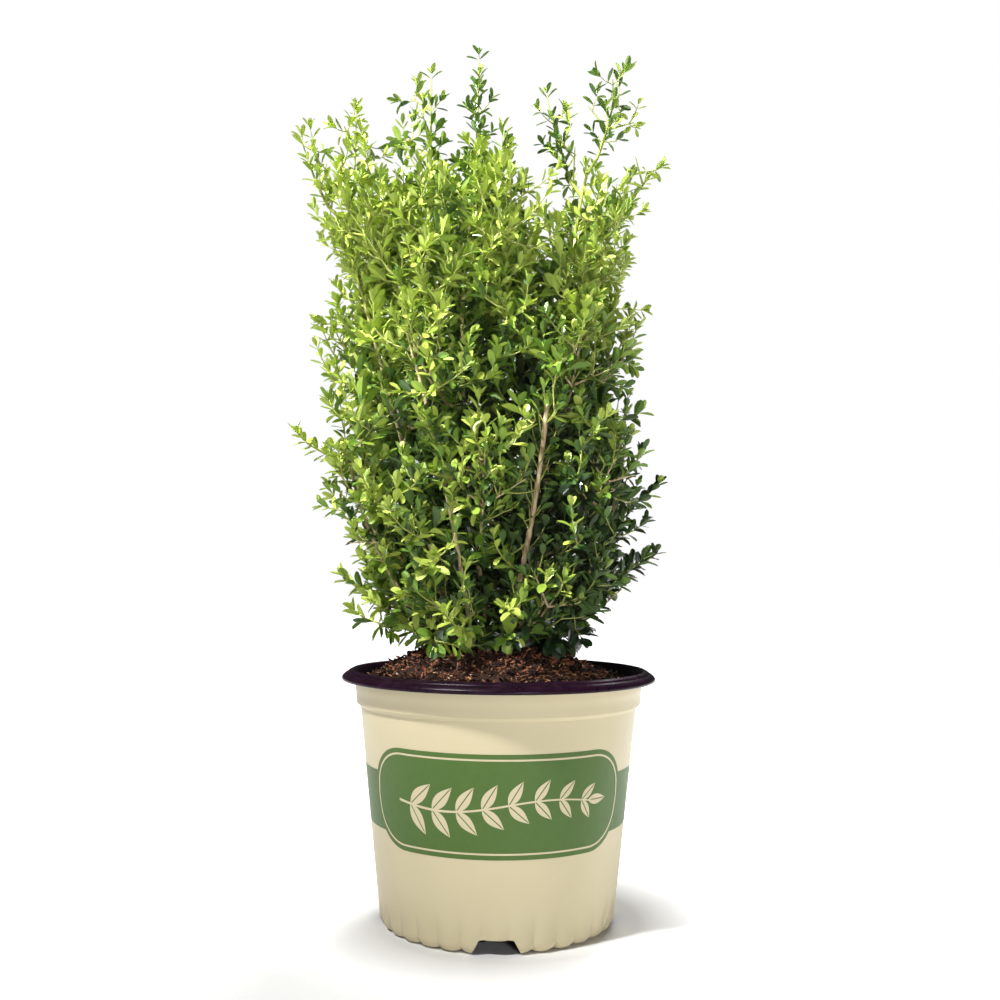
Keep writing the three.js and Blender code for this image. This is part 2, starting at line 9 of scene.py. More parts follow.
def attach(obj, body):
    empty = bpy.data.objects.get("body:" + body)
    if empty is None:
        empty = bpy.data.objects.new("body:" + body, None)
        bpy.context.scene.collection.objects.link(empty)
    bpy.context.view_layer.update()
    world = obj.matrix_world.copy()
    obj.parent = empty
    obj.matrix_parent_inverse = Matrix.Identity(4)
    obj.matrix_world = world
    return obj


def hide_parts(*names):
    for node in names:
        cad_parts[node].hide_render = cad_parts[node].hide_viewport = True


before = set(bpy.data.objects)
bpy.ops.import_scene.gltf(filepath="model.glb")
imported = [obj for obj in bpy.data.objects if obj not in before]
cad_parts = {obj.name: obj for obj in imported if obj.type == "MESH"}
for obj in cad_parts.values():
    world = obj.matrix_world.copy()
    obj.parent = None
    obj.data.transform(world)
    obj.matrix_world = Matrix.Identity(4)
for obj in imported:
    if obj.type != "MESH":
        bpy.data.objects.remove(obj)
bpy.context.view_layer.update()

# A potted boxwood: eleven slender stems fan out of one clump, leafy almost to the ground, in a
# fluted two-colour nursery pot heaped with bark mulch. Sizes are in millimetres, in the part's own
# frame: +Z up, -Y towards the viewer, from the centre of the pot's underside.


# The camera. It stands a metre in front of the pot, a little above its rim, and looks slightly
# up, as for a catalogue photograph: the rim is a flat ellipse and the crown stands tall.
IMAGE_WIDTH = 1000
FOCAL_PIXELS = 1121.3
SENSOR = 36
CAMERA_PLACE = (0, -1055.8, 318.3)
CAMERA_RISE = 3.61
CAMERA_ROLL = 0.46
METRE = 0.001

camera_data = bpy.data.cameras.new("camera")
camera_data.sensor_width = SENSOR
camera_data.lens = SENSOR * FOCAL_PIXELS / IMAGE_WIDTH
camera = bpy.data.objects.new("camera", camera_data)
camera.matrix_world = (
    Matrix.Translation(Vector(CAMERA_PLACE) * METRE)
    @ Matrix.Rotation(math.radians(90 + CAMERA_RISE), 4, "X")
    @ Matrix.Rotation(math.radians(CAMERA_ROLL), 4, "Z")
)
bpy.context.scene.collection.objects.link(camera)
bpy.context.scene.camera = camera


# The studio: a white floor under a white sky. A lamp high on the left is gridded onto the crown, a
# weak one onto its lower half, and one in front onto the pot. A wide one behind shines through the
# leaves. The floor glows round the pot, in ranges of metres, so that only the pot's shadow shows.
FLOOR = {"radius": 9000, "below": 0.2, "white": 0.9, "sides": 96}
FLOOR_GLOW = {"edge": (0.12, 0.185), "mid": 0.56, "far": (0.24, 0.6), "strength": 1.3, "aside": 0.009}
SKY_LIGHT = 0.05
LAMPS = {
    "lamp_key": {"place": (-1150, -1100, 2450), "power": 5.8, "width": 380, "aim": 662, "spread": 22.5},
    "lamp_front": {"place": (850, -2400, 380), "power": 0.52, "width": 700, "aim": 70, "spread": 18},
    "lamp_low": {"place": (-1400, -1500, 1050), "power": 0.16, "width": 260, "aim": 440, "spread": 12},
    "lamp_back": {"place": (600, 1700, 2200), "power": 36, "width": 1100, "aim": 560, "spread": 180},
}

bpy.context.scene.view_settings.view_transform = "Standard"
world = bpy.data.worlds.new("studio")
world.use_nodes = True
bpy.context.scene.world = world
sky = world.node_tree.nodes["Background"]
sky.inputs["Color"].default_value = (1, 1, 1, 1)
sky.inputs["Strength"].default_value = SKY_LIGHT
seen_sky = world.node_tree.nodes.new("ShaderNodeBackground")
seen_sky.inputs["Color"].default_value = (1, 1, 1, 1)
seen_sky.inputs["Strength"].default_value = 1
light_path = world.node_tree.nodes.new("ShaderNodeLightPath")
sky_mix = world.node_tree.nodes.new("ShaderNodeMixShader")
world.node_tree.links.new(light_path.outputs["Is Camera Ray"], sky_mix.inputs[0])
world.node_tree.links.new(sky.outputs[0], sky_mix.inputs[1])
world.node_tree.links.new(seen_sky.outputs[0], sky_mix.inputs[2])
world.node_tree.links.new(sky_mix.outputs[0], world.node_tree.nodes["World Output"].inputs[0])

for lamp_name, lamp in LAMPS.items():
    light = bpy.data.lights.new(lamp_name, "AREA")
    light.shape = "DISK"
    light.size = lamp["width"] * METRE
    light.energy = lamp["power"]
    light.spread = math.radians(lamp["spread"])
    holder = bpy.data.objects.new(lamp_name, light)
    towards = Vector((0, 0, lamp["aim"])) - Vector(lamp["place"])
    turn = towards.to_track_quat("-Z", "Y").to_matrix().to_4x4()
    holder.matrix_world = Matrix.Translation(Vector(lamp["place"]) * METRE) @ turn
    bpy.context.scene.collection.objects.link(holder)


def piece_of(name, points, faces, smooth=True):
    """A mesh object from points in millimetres and faces that all have the same number of corners."""
    points = np.asarray(points, dtype=np.float64) * METRE
    faces = np.asarray(faces, dtype=np.int32)
    mesh = bpy.data.meshes.new(name)
    mesh.vertices.add(len(points))
    mesh.vertices.foreach_set("co", points.ravel())
    mesh.loops.add(faces.size)
    mesh.loops.foreach_set("vertex_index", faces.ravel())
    mesh.polygons.add(len(faces))
    mesh.polygons.foreach_set("loop_start", np.arange(0, faces.size, faces.shape[1], dtype=np.int32))
    mesh.polygons.foreach_set("use_smooth", np.full(len(faces), smooth))
    mesh.update(calc_edges=True)
    mesh.validate()
    made = bpy.data.objects.new(name, mesh)
    bpy.context.scene.collection.objects.link(made)
    return made


class Wire:
    """One value on its way through a material, which adds, scales and compares like a number."""

    def __init__(self, tree, socket):
        self.tree = tree
        self.socket = socket

    def maths(self, operation, *values):
        node = self.tree.nodes.new("ShaderNodeMath")
        node.operation = operation
        for slot, value in zip(node.inputs, values):
            join(self.tree, slot, value)
        return Wire(self.tree, node.outputs[0])

    def __add__(self, other):
        return self.maths("ADD", self, other)

    def __sub__(self, other):
        return self.maths("SUBTRACT", self, other)

    def __rsub__(self, other):
        return self.maths("SUBTRACT", other, self)

    def __mul__(self, other):
        return self.maths("MULTIPLY", self, other)

    def clamped(self):
        return self.maths("MINIMUM", self.maths("MAXIMUM", self, 0.0), 1.0)

    def ramp(self, low, high):
        """0 below low, 1 above high, and a straight run between them."""
        return ((self - low) * (1 / (high - low))).clamped()

    __radd__ = __add__
    __rmul__ = __mul__


def join(tree, slot, value):
    if isinstance(value, Wire):
        tree.links.new(value.socket, slot)
    elif isinstance(value, tuple) and len(value) == 3 and slot.type == "RGBA":
        slot.default_value = (*value, 1)
    else:
        slot.default_value = value


class Finish:
    """A material: its shader's fixed values, and one method that adds any other node."""

    def __init__(self, name, **values):
        self.material = bpy.data.materials.new(name)
        self.material.use_nodes = True
        self.tree = self.material.node_tree
        self.shader = self.tree.nodes["Principled BSDF"]
        self.set(**values)

    def set(self, **values):
        for name, value in values.items():
            join(self.tree, self.shader.inputs[name.replace("_", " ").title().replace("Ior", "IOR")], value)

    def node(self, kind, settings, output=0, **sockets):
        made = self.tree.nodes.new(kind)
        for name, value in settings.items():
            setattr(made, name, value)
        for name, value in sockets.items():
            join(self.tree, made.inputs[int(name[1:]) if name[1:].isdigit() else name], value)
        return Wire(self.tree, made.outputs[output])

    def place(self):
        return self.node("ShaderNodeTexCoord", {}, "Object")

    def height(self):
        """How high above the floor a point is, in metres."""
        return self.node("ShaderNodeSeparateXYZ", {}, 2, Vector=self.place())

    def grain(self, size, detail=3.0, stretch=(1, 1, 1)):
        """Even noise from 0 to 1 whose lumps are this many millimetres across."""
        scaled = tuple(k / (size * METRE) for k in stretch)
        where = self.node("ShaderNodeVectorMath", {"operation": "MULTIPLY"}, 0, _0=self.place(), _1=scaled)
        return self.node("ShaderNodeTexNoise", {}, 0, Vector=where, Scale=1.0, Detail=detail)

    def tint(self, factor, low, high):
        return self.node("ShaderNodeMix", {"data_type": "RGBA"}, 2, _0=factor, _6=low, _7=high)

    def bump(self, height, distance):
        """Raises the surface by up to a distance in millimetres."""
        self.set(normal=self.node("ShaderNodeBump", {}, 0, Height=height, Distance=distance * METRE))


def floor_piece():
    sides = FLOOR["sides"]
    angles = np.linspace(0, 2 * math.pi, sides + 1)[:-1]
    rim = np.stack([np.cos(angles), np.sin(angles), np.zeros(sides)], axis=1) * FLOOR["radius"]
    points = np.vstack([[0, 0, 0], rim]) - [0, 0, FLOOR["below"]]
    faces = [(0, 1 + i, 1 + (i + 1) % sides) for i in range(sides)]
    return piece_of("floor", points, faces, smooth=False)


white_floor = Finish("white_floor", base_color=(FLOOR["white"],) * 3, roughness=0.9)
spot = (FLOOR_GLOW["aside"], 0, 0)
away = white_floor.node("ShaderNodeVectorMath", {"operation": "DISTANCE"}, 1, _0=white_floor.place(), _1=spot)
near_glow = away.ramp(*FLOOR_GLOW["edge"]) * FLOOR_GLOW["mid"]
glow = near_glow + away.ramp(*FLOOR_GLOW["far"]) * (1 - FLOOR_GLOW["mid"])
white_floor.set(emission_color=white_floor.tint(glow, (0, 0, 0), (1, 1, 1)))
white_floor.set(emission_strength=FLOOR_GLOW["strength"])
floor = floor_piece()
floor.data.materials.append(white_floor.material)


# The pot's wall is the cream outer skin of a two-layer injection moulding. It tapers to a rounded
# heel, where 32 shallow scallops stiffen it, steps out in a collar under the rim, and is cut by
# four arches at its foot that let water out.
SKIN = 1.0
WALL = 2.0
HEEL = {"radius": 107.6, "z": 8, "foot": 100.6, "round": 7.4, "rise": 8.6}
DRAFT = 0.1056
SCALLOPS = {"count": 32, "depth": 2.6, "top": 30, "lift": 2.0, "lift_top": 12, "sharp": 0.7, "beyond": 90}
WALL_STEPS = [(131.15, 197.6), (131.6, 203), (131.9, 208.8), (132.45, 209.9), (132.5, 213.7), (133.3, 219.0)]
COLLAR_FOOT = 194.2
CHANNEL = {"count": 4, "foot": 42, "head": 29.3, "height": 12.7, "inner": 72, "corner": 3.0}
DRAIN = {"length": 16, "width": 8, "radius": 90}
POT_SIDES = 384


def wall_radius(z):
    return HEEL["radius"] + (z - HEEL["z"]) * DRAFT


def wall_line(shrink=0.0):
    """The wall's section from the edge of its foot to its top edge, drawn in by a thickness."""
    heel = []
    for i in range(9):
        turn = math.radians(i * 10.5)
        radius = HEEL["foot"] + HEEL["round"] * math.sin(turn) ** 1.1
        heel.append((radius - shrink, HEEL["rise"] * (1 - math.cos(turn))))
    straight = [(wall_radius(z) - shrink, z) for z in (*range(10, 30, 2), 34, 60, 100, 150, COLLAR_FOOT)]
    return heel + straight + [(radius - shrink, z) for radius, z in WALL_STEPS]


def sweep(line, sides, scalloped):
    """The points of a line turned about the pot's axis, drawn in and up between the scallops' crests."""
    line = np.array(line, dtype=float)
    angles = np.arange(sides)[:, None] * 2 * math.pi / sides
    radius, z = np.tile(line[:, 0], (sides, 1)), np.tile(line[:, 1], (sides, 1))
    if scalloped:
        crest = np.abs(np.cos(angles * SCALLOPS["count"] / 2)) ** SCALLOPS["sharp"]
        dent = (1 - crest) * (radius > SCALLOPS["beyond"])
        fade = np.clip(1 - z / SCALLOPS["top"], 0, 1) ** SCALLOPS["sharp"]
        lift = SCALLOPS["lift"] * dent * np.clip(1 - z / SCALLOPS["lift_top"], 0, 1) * (z >= 0)
        radius, z = radius - SCALLOPS["depth"] * dent * fade, z + lift
    return np.stack([radius * np.cos(angles), radius * np.sin(angles), z], axis=2)


def ring_piece(name, section, sides, scalloped=False):
    """A turned ring whose closed section lies clear of the axis."""
    points = sweep(section, sides, scalloped)
    count = points.shape[1]
    ring, place = np.meshgrid(np.arange(sides), np.arange(count), indexing="ij")
    ahead, above = (ring + 1) % sides, (place + 1) % count
    corners = [ring * count + place, ring * count + above, ahead * count + above, ahead * count + place]
    return piece_of(name, points.reshape(-1, 3), np.stack(corners, axis=2).reshape(-1, 4))


def turned(name, profile, sides, scalloped=False):
    """A closed turned solid: the profile runs from the axis below to the axis above."""
    points = sweep(profile[1:-1], sides, scalloped)
    rows = points.shape[1]
    ring = np.arange(sides)
    faces = []
    for row in range(rows - 1):
        a, b = ring * rows + row, ((ring + 1) % sides) * rows + row
        faces += [np.stack([a, b, b + 1], axis=1), np.stack([a, b + 1, a + 1], axis=1)]
    bottom, top = sides * rows, sides * rows + 1
    nexts = (ring + 1) % sides
    faces.append(np.stack([np.full(sides, bottom), nexts * rows, ring * rows], axis=1))
    faces.append(np.stack([np.full(sides, top), ring * rows + rows - 1, nexts * rows + rows - 1], axis=1))
    ends = [[0, 0, profile[0][1]], [0, 0, profile[-1][1]]]
    return piece_of(name, np.vstack([points.reshape(-1, 3), ends]), np.vstack(faces))


def channel_bar(index, margin):
    """The space of one drain arch, from well outside the heel to its inner end."""
    foot, head = CHANNEL["foot"] / 2 + margin, CHANNEL["head"] / 2 + margin
    top, corner = CHANNEL["height"] + margin, CHANNEL["corner"]
    section = [(-foot - 2, -4), (foot + 2, -4), (foot, 0)]
    lean = math.atan2(top, foot - head)
    for side in (1, -1):
        start = math.pi / 2 - lean if side > 0 else math.pi / 2
        for i in range(5):
            turn = start + lean * i / 4
            centre = side * (head - corner * math.tan(lean / 2))
            section.append((centre + corner * math.cos(turn), top - corner + corner * math.sin(turn)))
    section.append((-foot, 0))
    near, far = HEEL["radius"] + 8, CHANNEL["inner"] - margin
    count = len(section)
    points = [(x, -near, z) for x, z in section] + [(x, -far, z) for x, z in section]
    spin = np.array(Matrix.Rotation(index * 2 * math.pi / CHANNEL["count"], 3, "Z"))
    bar = bpy.data.meshes.new("bar")
    sides = [(i, i + count, (i + 1) % count + count, (i + 1) % count) for i in range(count)]
    ends = [tuple(range(count)), tuple(reversed(range(count, 2 * count)))]
    bar.from_pydata([tuple(spin @ np.array(p) * METRE) for p in points], [], sides + ends)
    return outward(bpy.data.objects.new("bar", bar))


def outward(made):
    """Turns every face of a closed mesh outwards."""
    work = bmesh.new()
    work.from_mesh(made.data)
    bmesh.ops.recalc_face_normals(work, faces=work.faces)
    work.to_mesh(made.data)
    work.free()
    if made.name not in bpy.context.scene.collection.objects:
        bpy.context.scene.collection.objects.link(made)
    return made


def cut(made, tools):
    """Cuts closed meshes out of a closed mesh and deletes them."""
    for tool in tools:
        step = made.modifiers.new("cut", "BOOLEAN")
        step.operation = "DIFFERENCE"
        step.solver = "EXACT"
        step.object = tool
    graph = bpy.context.evaluated_depsgraph_get()
    mesh = bpy.data.meshes.new_from_object(made.evaluated_get(graph))
    made.modifiers.clear()
    made.data = mesh
    for tool in tools:
        bpy.data.objects.remove(tool)


def drain_slots():
    made = []
    for i in range(CHANNEL["count"]):
        slot = bpy.data.meshes.new("slot")
        work = bmesh.new()
        size = (DRAIN["width"], DRAIN["length"], 4 * WALL)
        shape = Matrix.Diagonal((*size, 1))
        where = Matrix.Translation((0, -DRAIN["radius"], CHANNEL["height"] + WALL / 2))
        spin = Matrix.Rotation(i * 2 * math.pi / CHANNEL["count"], 4, "Z")
        bmesh.ops.create_cube(work, size=1, matrix=Matrix.Scale(METRE, 4) @ spin @ where @ shape)
        work.to_mesh(slot)
        work.free()
        made.append(outward(bpy.data.objects.new("slot", slot)))
    return made


def shade_by_angle(made, degrees=35):
    """Smooth shading that stays crisp over edges sharper than this."""
    made.data.shade_smooth()
    made.data.set_sharp_from_angle(angle=math.radians(degrees))


channel_indices = range(CHANNEL["count"])
pot_wall = outward(ring_piece("pot_wall", wall_line() + wall_line(SKIN)[::-1], POT_SIDES, True))
cut(pot_wall, [channel_bar(i, 0) for i in channel_indices])
shade_by_angle(pot_wall)

cream_plastic = Finish("cream_plastic", specular_ior_level=0.22)
cream_mottle = cream_plastic.grain(38, 2)
cream_plastic.set(base_color=cream_plastic.tint(cream_mottle, (0.51, 0.443, 0.286), (0.55, 0.485, 0.318)))
cream_plastic.set(roughness=cream_plastic.grain(3.5, 2) * 0.16 + 0.34)
cream_plastic.bump(cream_plastic.grain(0.7, 2), 0.05)
pot_wall.data.materials.clear()
pot_wall.data.materials.append(cream_plastic.material)
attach(pot_wall, "root")
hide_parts("pot")


# The pot's inner layer is the same moulding's dark core: it lines the wall and makes the floor,
# the roofs of the four drain arches, and the slots in them.
LINER_GAP = 0.04
LINER_OPEN = 216
CORE_SIDES = 192

liner_line = wall_line(SKIN + LINER_GAP)
pot_liner = turned("pot_liner", [(0, 0), *liner_line[:-1], (0, liner_line[-2][1])], CORE_SIDES, True)
inside_line = [(radius, max(z, WALL)) for radius, z in wall_line(WALL)[6:-1]]
inside_line += [(inside_line[-1][0], LINER_OPEN), (0, LINER_OPEN)]
inside = turned("inside", [(0, WALL), *inside_line], CORE_SIDES, True)
cut(inside, [channel_bar(i, WALL) for i in channel_indices])
cut(pot_liner, [inside] + [channel_bar(i, 0) for i in channel_indices] + drain_slots())
shade_by_angle(pot_liner)

plum_plastic = Finish("plum_plastic", specular_ior_level=0.12)
plum_dust = plum_plastic.grain(9, 4)
plum_tint = plum_plastic.tint(plum_dust.ramp(0.5, 0.8), (0.011, 0.003, 0.009), (0.026, 0.008, 0.021))
plum_plastic.set(base_color=plum_tint, roughness=plum_dust * 0.3 + 0.16)
plum_plastic.bump(plum_plastic.grain(1.2, 2), 0.05)
pot_liner.data.materials.clear()
pot_liner.data.materials.append(plum_plastic.material)
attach(pot_liner, "root")
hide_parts("pot")


# The rim is the dark core rolled out over the wall's top edge: a sloping lip with a fine step
# round it, turned under at its outer edge, so that the pot can be lifted by it.
RIM_LINE = [
    (130.3, 214.0), (131.9, 220.6), (133.5, 226.2), (134.1, 227.2), (134.9, 227.6), (136.0, 227.5),
    (138.6, 226.2), (139.3, 225.6), (139.6, 225.0), (139.9, 224.7), (140.6, 224.6), (142.3, 223.6),
    (144.0, 222.1), (144.8, 220.9), (145.0, 219.6), (144.8, 218.6), (144.1, 218.1), (143.2, 218.2),
    (141.6, 219.2), (138.0, 219.9), (134.4, 219.6), (132.2, 219.4), (131.4, 214.0),
]
RIM_SIDES = 256

pot_lip = outward(ring_piece("pot_lip", RIM_LINE, RIM_SIDES))
shade_by_angle(pot_lip, 50)
pot_lip.data.materials.append(plum_plastic.material)
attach(pot_lip, "root")
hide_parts("pot_rim")


# The print on the wall is green ink, screened straight onto the plastic: a band all the way round,
# and on the front a plaque with rounded ends, a pin line inside its edge, and a sprig of paired
# leaves left in the colour of the pot.
BAND = (93.0, 144.0)
PLAQUE = {"half_angle": 61.0, "low": 80.0, "high": 167.5, "corner": 40.0}
PIN_LINE = {"inset": 4.0, "width": 1.6}
INK = {"band": 0.12, "plaque": 0.18, "cream": 0.312}
SPRIG = {"pairs": 8, "leaf": 27.0, "width": 11.0, "sway": 5.0, "stem": 1.7, "rib": 0.9, "reach": 0.72}


def on_wall(across, z, lift):
    """A point at a distance round the wall from its front, at a height, standing proud of it."""
    radius = wall_radius(z) + lift
    angle = across / wall_radius((PLAQUE["low"] + PLAQUE["high"]) / 2) - math.pi / 2
    return (radius * math.cos(angle), radius * math.sin(angle), z)


def ink_strip(name, columns, lift, closed=False):
    """A printed shape from columns of (distance round the wall, lowest height, highest height)."""
    points, faces = [], []
    rows = 6
    for across, low, high in columns:
        points += [on_wall(across, low + (high - low) * i / rows, lift) for i in range(rows + 1)]
    count = len(columns)
    for i in range(count if closed else count - 1):
        left, right = i * (rows + 1), (i + 1) % count * (rows + 1)
        faces += [(left + k, right + k, right + k + 1, left + k + 1) for k in range(rows)]
    return piece_of(name, points, faces)


def plaque_columns(inset):
    """The plaque's outline, drawn in by an inset, as columns across it."""
    middle = (PLAQUE["low"] + PLAQUE["high"]) / 2
    reach = math.radians(PLAQUE["half_angle"]) * wall_radius(middle) - inset
    half = (PLAQUE["high"] - PLAQUE["low"]) / 2 - inset
    corner = PLAQUE["corner"] - inset
    columns = []
    for across in np.linspace(-reach, reach, 181):
        past = max(0.0, abs(across) - (reach - corner))
        rise = half - corner + math.sqrt(max(0.0, corner**2 - past**2))
        columns.append((across, middle - rise, middle + rise))
    return columns


def fold_up(parts, name):
    """Joins like pieces into one, under a new name."""
    with bpy.context.temp_override(active_object=parts[0], selected_editable_objects=parts):
        bpy.ops.object.join()
    parts[0].name = name
    parts[0].data.name = name
    return parts[0]


def pin_line():
    """The frame between two outlines of the plaque, in an upper and a lower half."""
    outer = plaque_columns(PIN_LINE["inset"])
    inner = plaque_columns(PIN_LINE["inset"] + PIN_LINE["width"])
    reach = inner[-1][0]
    inner_high = [high for _, _, high in inner]
    inner_across = [across for across, _, _ in inner]
    middle = (PLAQUE["low"] + PLAQUE["high"]) / 2
    upper, lower = [], []
    for across, _, high in outer:
        inside = np.interp(across, inner_across, inner_high) if abs(across) < reach else middle
        upper.append((across, inside, high))
        lower.append((across, 2 * middle - high, 2 * middle - inside))
    return [ink_strip("upper", upper, INK["cream"]), ink_strip("lower", lower, INK["cream"])]


def printed_leaf(across, z, turn, size):
    """One leaf of the printed sprig: a pointed oval that leans away from the stem, in two halves."""
    count = 12
    halves = []
    for side in (-1, 1):
        points = []
        for i in range(count + 1):
            t = i / count
            belly = math.sin(math.pi * t**0.8)
            along = t * SPRIG["leaf"] * size
            for half in (SPRIG["rib"] / 2 * min(1, 3 * belly), SPRIG["width"] / 2 * size * belly):
                x = across + along * math.cos(turn) - side * half * math.sin(turn)
                y = z + along * math.sin(turn) + side * half * math.cos(turn)
                points.append(on_wall(x, y, INK["cream"]))
        faces = [(2 * i, 2 * i + 2, 2 * i + 3, 2 * i + 1)[::side] for i in range(count)]
        halves.append(piece_of("leaf", points, faces))
    return halves


def printed_sprig():
    middle = (PLAQUE["low"] + PLAQUE["high"]) / 2
    reach = math.radians(PLAQUE["half_angle"]) * wall_radius(middle) * SPRIG["reach"]

    def sway(across):
        return middle + SPRIG["sway"] * math.sin(across / reach * math.pi)

    columns = []
    for across in np.linspace(-reach, reach * 0.94, 121):
        half = SPRIG["stem"] / 2 * (1.25 - 0.5 * (across / reach + 1) / 2)
        columns.append((across, sway(across) - half, sway(across) + half))
    parts = [ink_strip("stem", columns, INK["cream"])]
    for i in range(SPRIG["pairs"]):
        share = i / (SPRIG["pairs"] - 1)
        across = reach * (1.68 * share - 0.86)
        slope = math.atan2(sway(across + 1) - sway(across), 1)
        for side in (-1, 1):
            turn = slope + side * math.radians(50)
            parts += printed_leaf(across, sway(across), turn, 1.06 - 0.34 * share)
    return parts + printed_leaf(reach * 0.9, sway(reach * 0.9), 0.0, 0.8)


band_reach = math.pi * wall_radius((PLAQUE["low"] + PLAQUE["high"]) / 2)
band_columns = [(across, *BAND) for across in np.linspace(-band_reach, band_reach, 257)[:-1]]
green_print = fold_up(
    [
        ink_strip("band", band_columns, INK["band"], closed=True),
        ink_strip("plaque", plaque_columns(0), INK["plaque"]),
    ],
    "green_print",
)
cream_print = fold_up(pin_line() + printed_sprig(), "cream_print")

green_ink = Finish("green_ink", roughness=0.45, specular_ior_level=0.2)
ink_cover = green_ink.grain(6, 3)
green_ink.set(base_color=green_ink.tint(ink_cover, (0.062, 0.118, 0.026), (0.076, 0.138, 0.033)))
green_ink.bump(green_ink.grain(0.7, 2), 0.03)
green_print.data.materials.append(green_ink.material)
cream_print.data.materials.append(cream_plastic.material)
for printed in (green_print, cream_print):
    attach(printed, "root")


# The mulch is shredded pine bark over potting mix, heaped by hand round the clump. The heap is a
# lumpy mound of dark fines; on it lie shards and fibres of bark, red-brown, dark and tan, and a few
# grains of perlite.
MOUND_TOP = 246
HEAP = {"edge": 129.4, "foot": (128.3, 205), "peak": 247, "sides": 224, "rough_from": 212, "calm": 6}
SLOPE = [
    (HEAP["edge"], 213.5), (118, 219), (101, 228), (86, 237), (72, 244),
    (60, MOUND_TOP), (0, HEAP["peak"]),
]
DIP = [(52, 0), (72, 10), (86, 9), (101, 6), (118, 3), (129, 0)]
LUMPS = {"size": 11.0, "lift": 3.4, "fine": 3.2, "fine_lift": 1.5}
SHARDS = {
    "bark_red": {"count": 2000, "length": (3.5, 11), "width": (1.0, 2.9), "thick": (0.6, 1.9)},
    "bark_dark": {"count": 1600, "length": (4, 12), "width": (1.2, 3.8), "thick": (0.8, 2.4)},
    "bark_tan": {"count": 700, "length": (2.5, 9), "width": (0.8, 2.0), "thick": (0.5, 1.3)},
    "perlite": {"count": 16, "length": (1.8, 3.4), "width": (1.6, 2.8), "thick": (1.5, 2.4)},
}
SHARD_RADIUS = 123.5


def heap_height(radius, x):
    """How high the heap stands, at a distance from its middle. It is lower on its right."""
    even = np.interp(radius, [r for r, _ in reversed(SLOPE)], [z for _, z in reversed(SLOPE)])
    right = np.clip(x / np.maximum(radius, 1), 0, 1)
    return even - right * np.interp(radius, [r for r, _ in DIP], [drop for _, drop in DIP])


def lumpiness(x, y):
    """How far the heap stands over its even slope at a place."""
    coarse = noise.noise(Vector((x, y, 3)) / LUMPS["size"]) * LUMPS["lift"]
    return coarse + noise.noise(Vector((x, y, 9)) / LUMPS["fine"]) * LUMPS["fine_lift"]


def heap_piece():
    radii = np.concatenate([np.linspace(HEAP["edge"], 60, 46), np.linspace(58, 2, 26)])
    slope = [(r, heap_height(r, 0)) for r in radii]
    profile = [(0, HEAP["foot"][1]), HEAP["foot"], *slope, (0, HEAP["peak"])]
    made = turned("heap", profile, HEAP["sides"])
    for vertex in made.data.vertices:
        x, y, z = (k / METRE for k in vertex.co)
        radius = math.hypot(x, y)
        if z > HEAP["rough_from"]:
            calm = min(1.0, (HEAP["edge"] + 0.1 - radius) / HEAP["calm"])
            slump = heap_height(radius, x) - heap_height(radius, 0)
            vertex.co.z += (lumpiness(x, y) * calm + slump) * METRE
    return made


def shard_piece(name, kind, seed):
    """Splinters strewn over the heap, each a tapering six-cornered bar, most lying nearly flat."""
    random = np.random.default_rng(seed)
    count = kind["count"]
    radius = SHARD_RADIUS * np.sqrt(random.uniform(0.01, 1, count))
    angle = random.uniform(0, 2 * math.pi, count)
    x, y = radius * np.cos(angle), radius * np.sin(angle)
    z = heap_height(radius, x) + np.array([lumpiness(a, b) for a, b in zip(x, y)])
    size = [random.uniform(*kind[key], count) for key in ("length", "width", "thick")]
    z = z + size[2] * random.uniform(0.05, 0.9, count)
    yaw = random.uniform(0, 2 * math.pi, count)
    pitch = random.normal(0, 0.5, count)
    roll = random.normal(0, 0.6, count)
    along = np.stack([np.cos(yaw) * np.cos(pitch), np.sin(yaw) * np.cos(pitch), np.sin(pitch)], axis=1)
    flat = np.stack([-np.sin(yaw), np.cos(yaw), np.zeros(count)], axis=1)
    rise = np.cross(along, flat)
    side = flat * np.cos(roll)[:, None] + rise * np.sin(roll)[:, None]
    rise = np.cross(along, side)
    corners = []
    for end in (-0.5, 0.0, 0.5):
        for a, b in ((-0.5, -0.5), (0.5, -0.5), (0.5, 0.5), (-0.5, 0.5)):
            taper = random.uniform(0.2, 0.75, count) if end else random.uniform(0.9, 1.1, count)
            reach = end * size[0] * random.uniform(0.85, 1.1, count)
            shift = random.normal(0, 0.05, count) * size[1]
            corners.append(
                along * reach[:, None]
                + side * (a * size[1] * taper + shift)[:, None]
                + rise * (b * size[2] * taper)[:, None]
            )
    points = np.stack(corners, axis=1) + np.stack([x, y, z], axis=1)[:, None, :]
    box = [(0, 3, 2, 1), (8, 9, 10, 11)]
    for start in (0, 4):
        box += [(start + k, start + (k + 1) % 4, start + 4 + (k + 1) % 4, start + 4 + k) for k in range(4)]
    faces = np.array(box)[None] + (np.arange(count) * 12)[:, None, None]
    return piece_of(name, points.reshape(-1, 3), faces.reshape(-1, 4), smooth=False)


def bark_finish(name, low, high, grain=1.6):
    made = Finish(name, roughness=0.86, specular_ior_level=0.25)
    streaks = made.grain(grain, 4)
    made.set(base_color=made.tint(streaks.ramp(0.36, 0.66), low, high))
    made.bump(made.grain(0.8, 3), 0.35)
    return made


heap = heap_piece()
potting_mix = bark_finish("potting_mix", (0.003, 0.0015, 0.001), (0.045, 0.018, 0.009), 2.2)
heap.data.materials.append(potting_mix.material)
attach(heap, "root")
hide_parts("mulch")

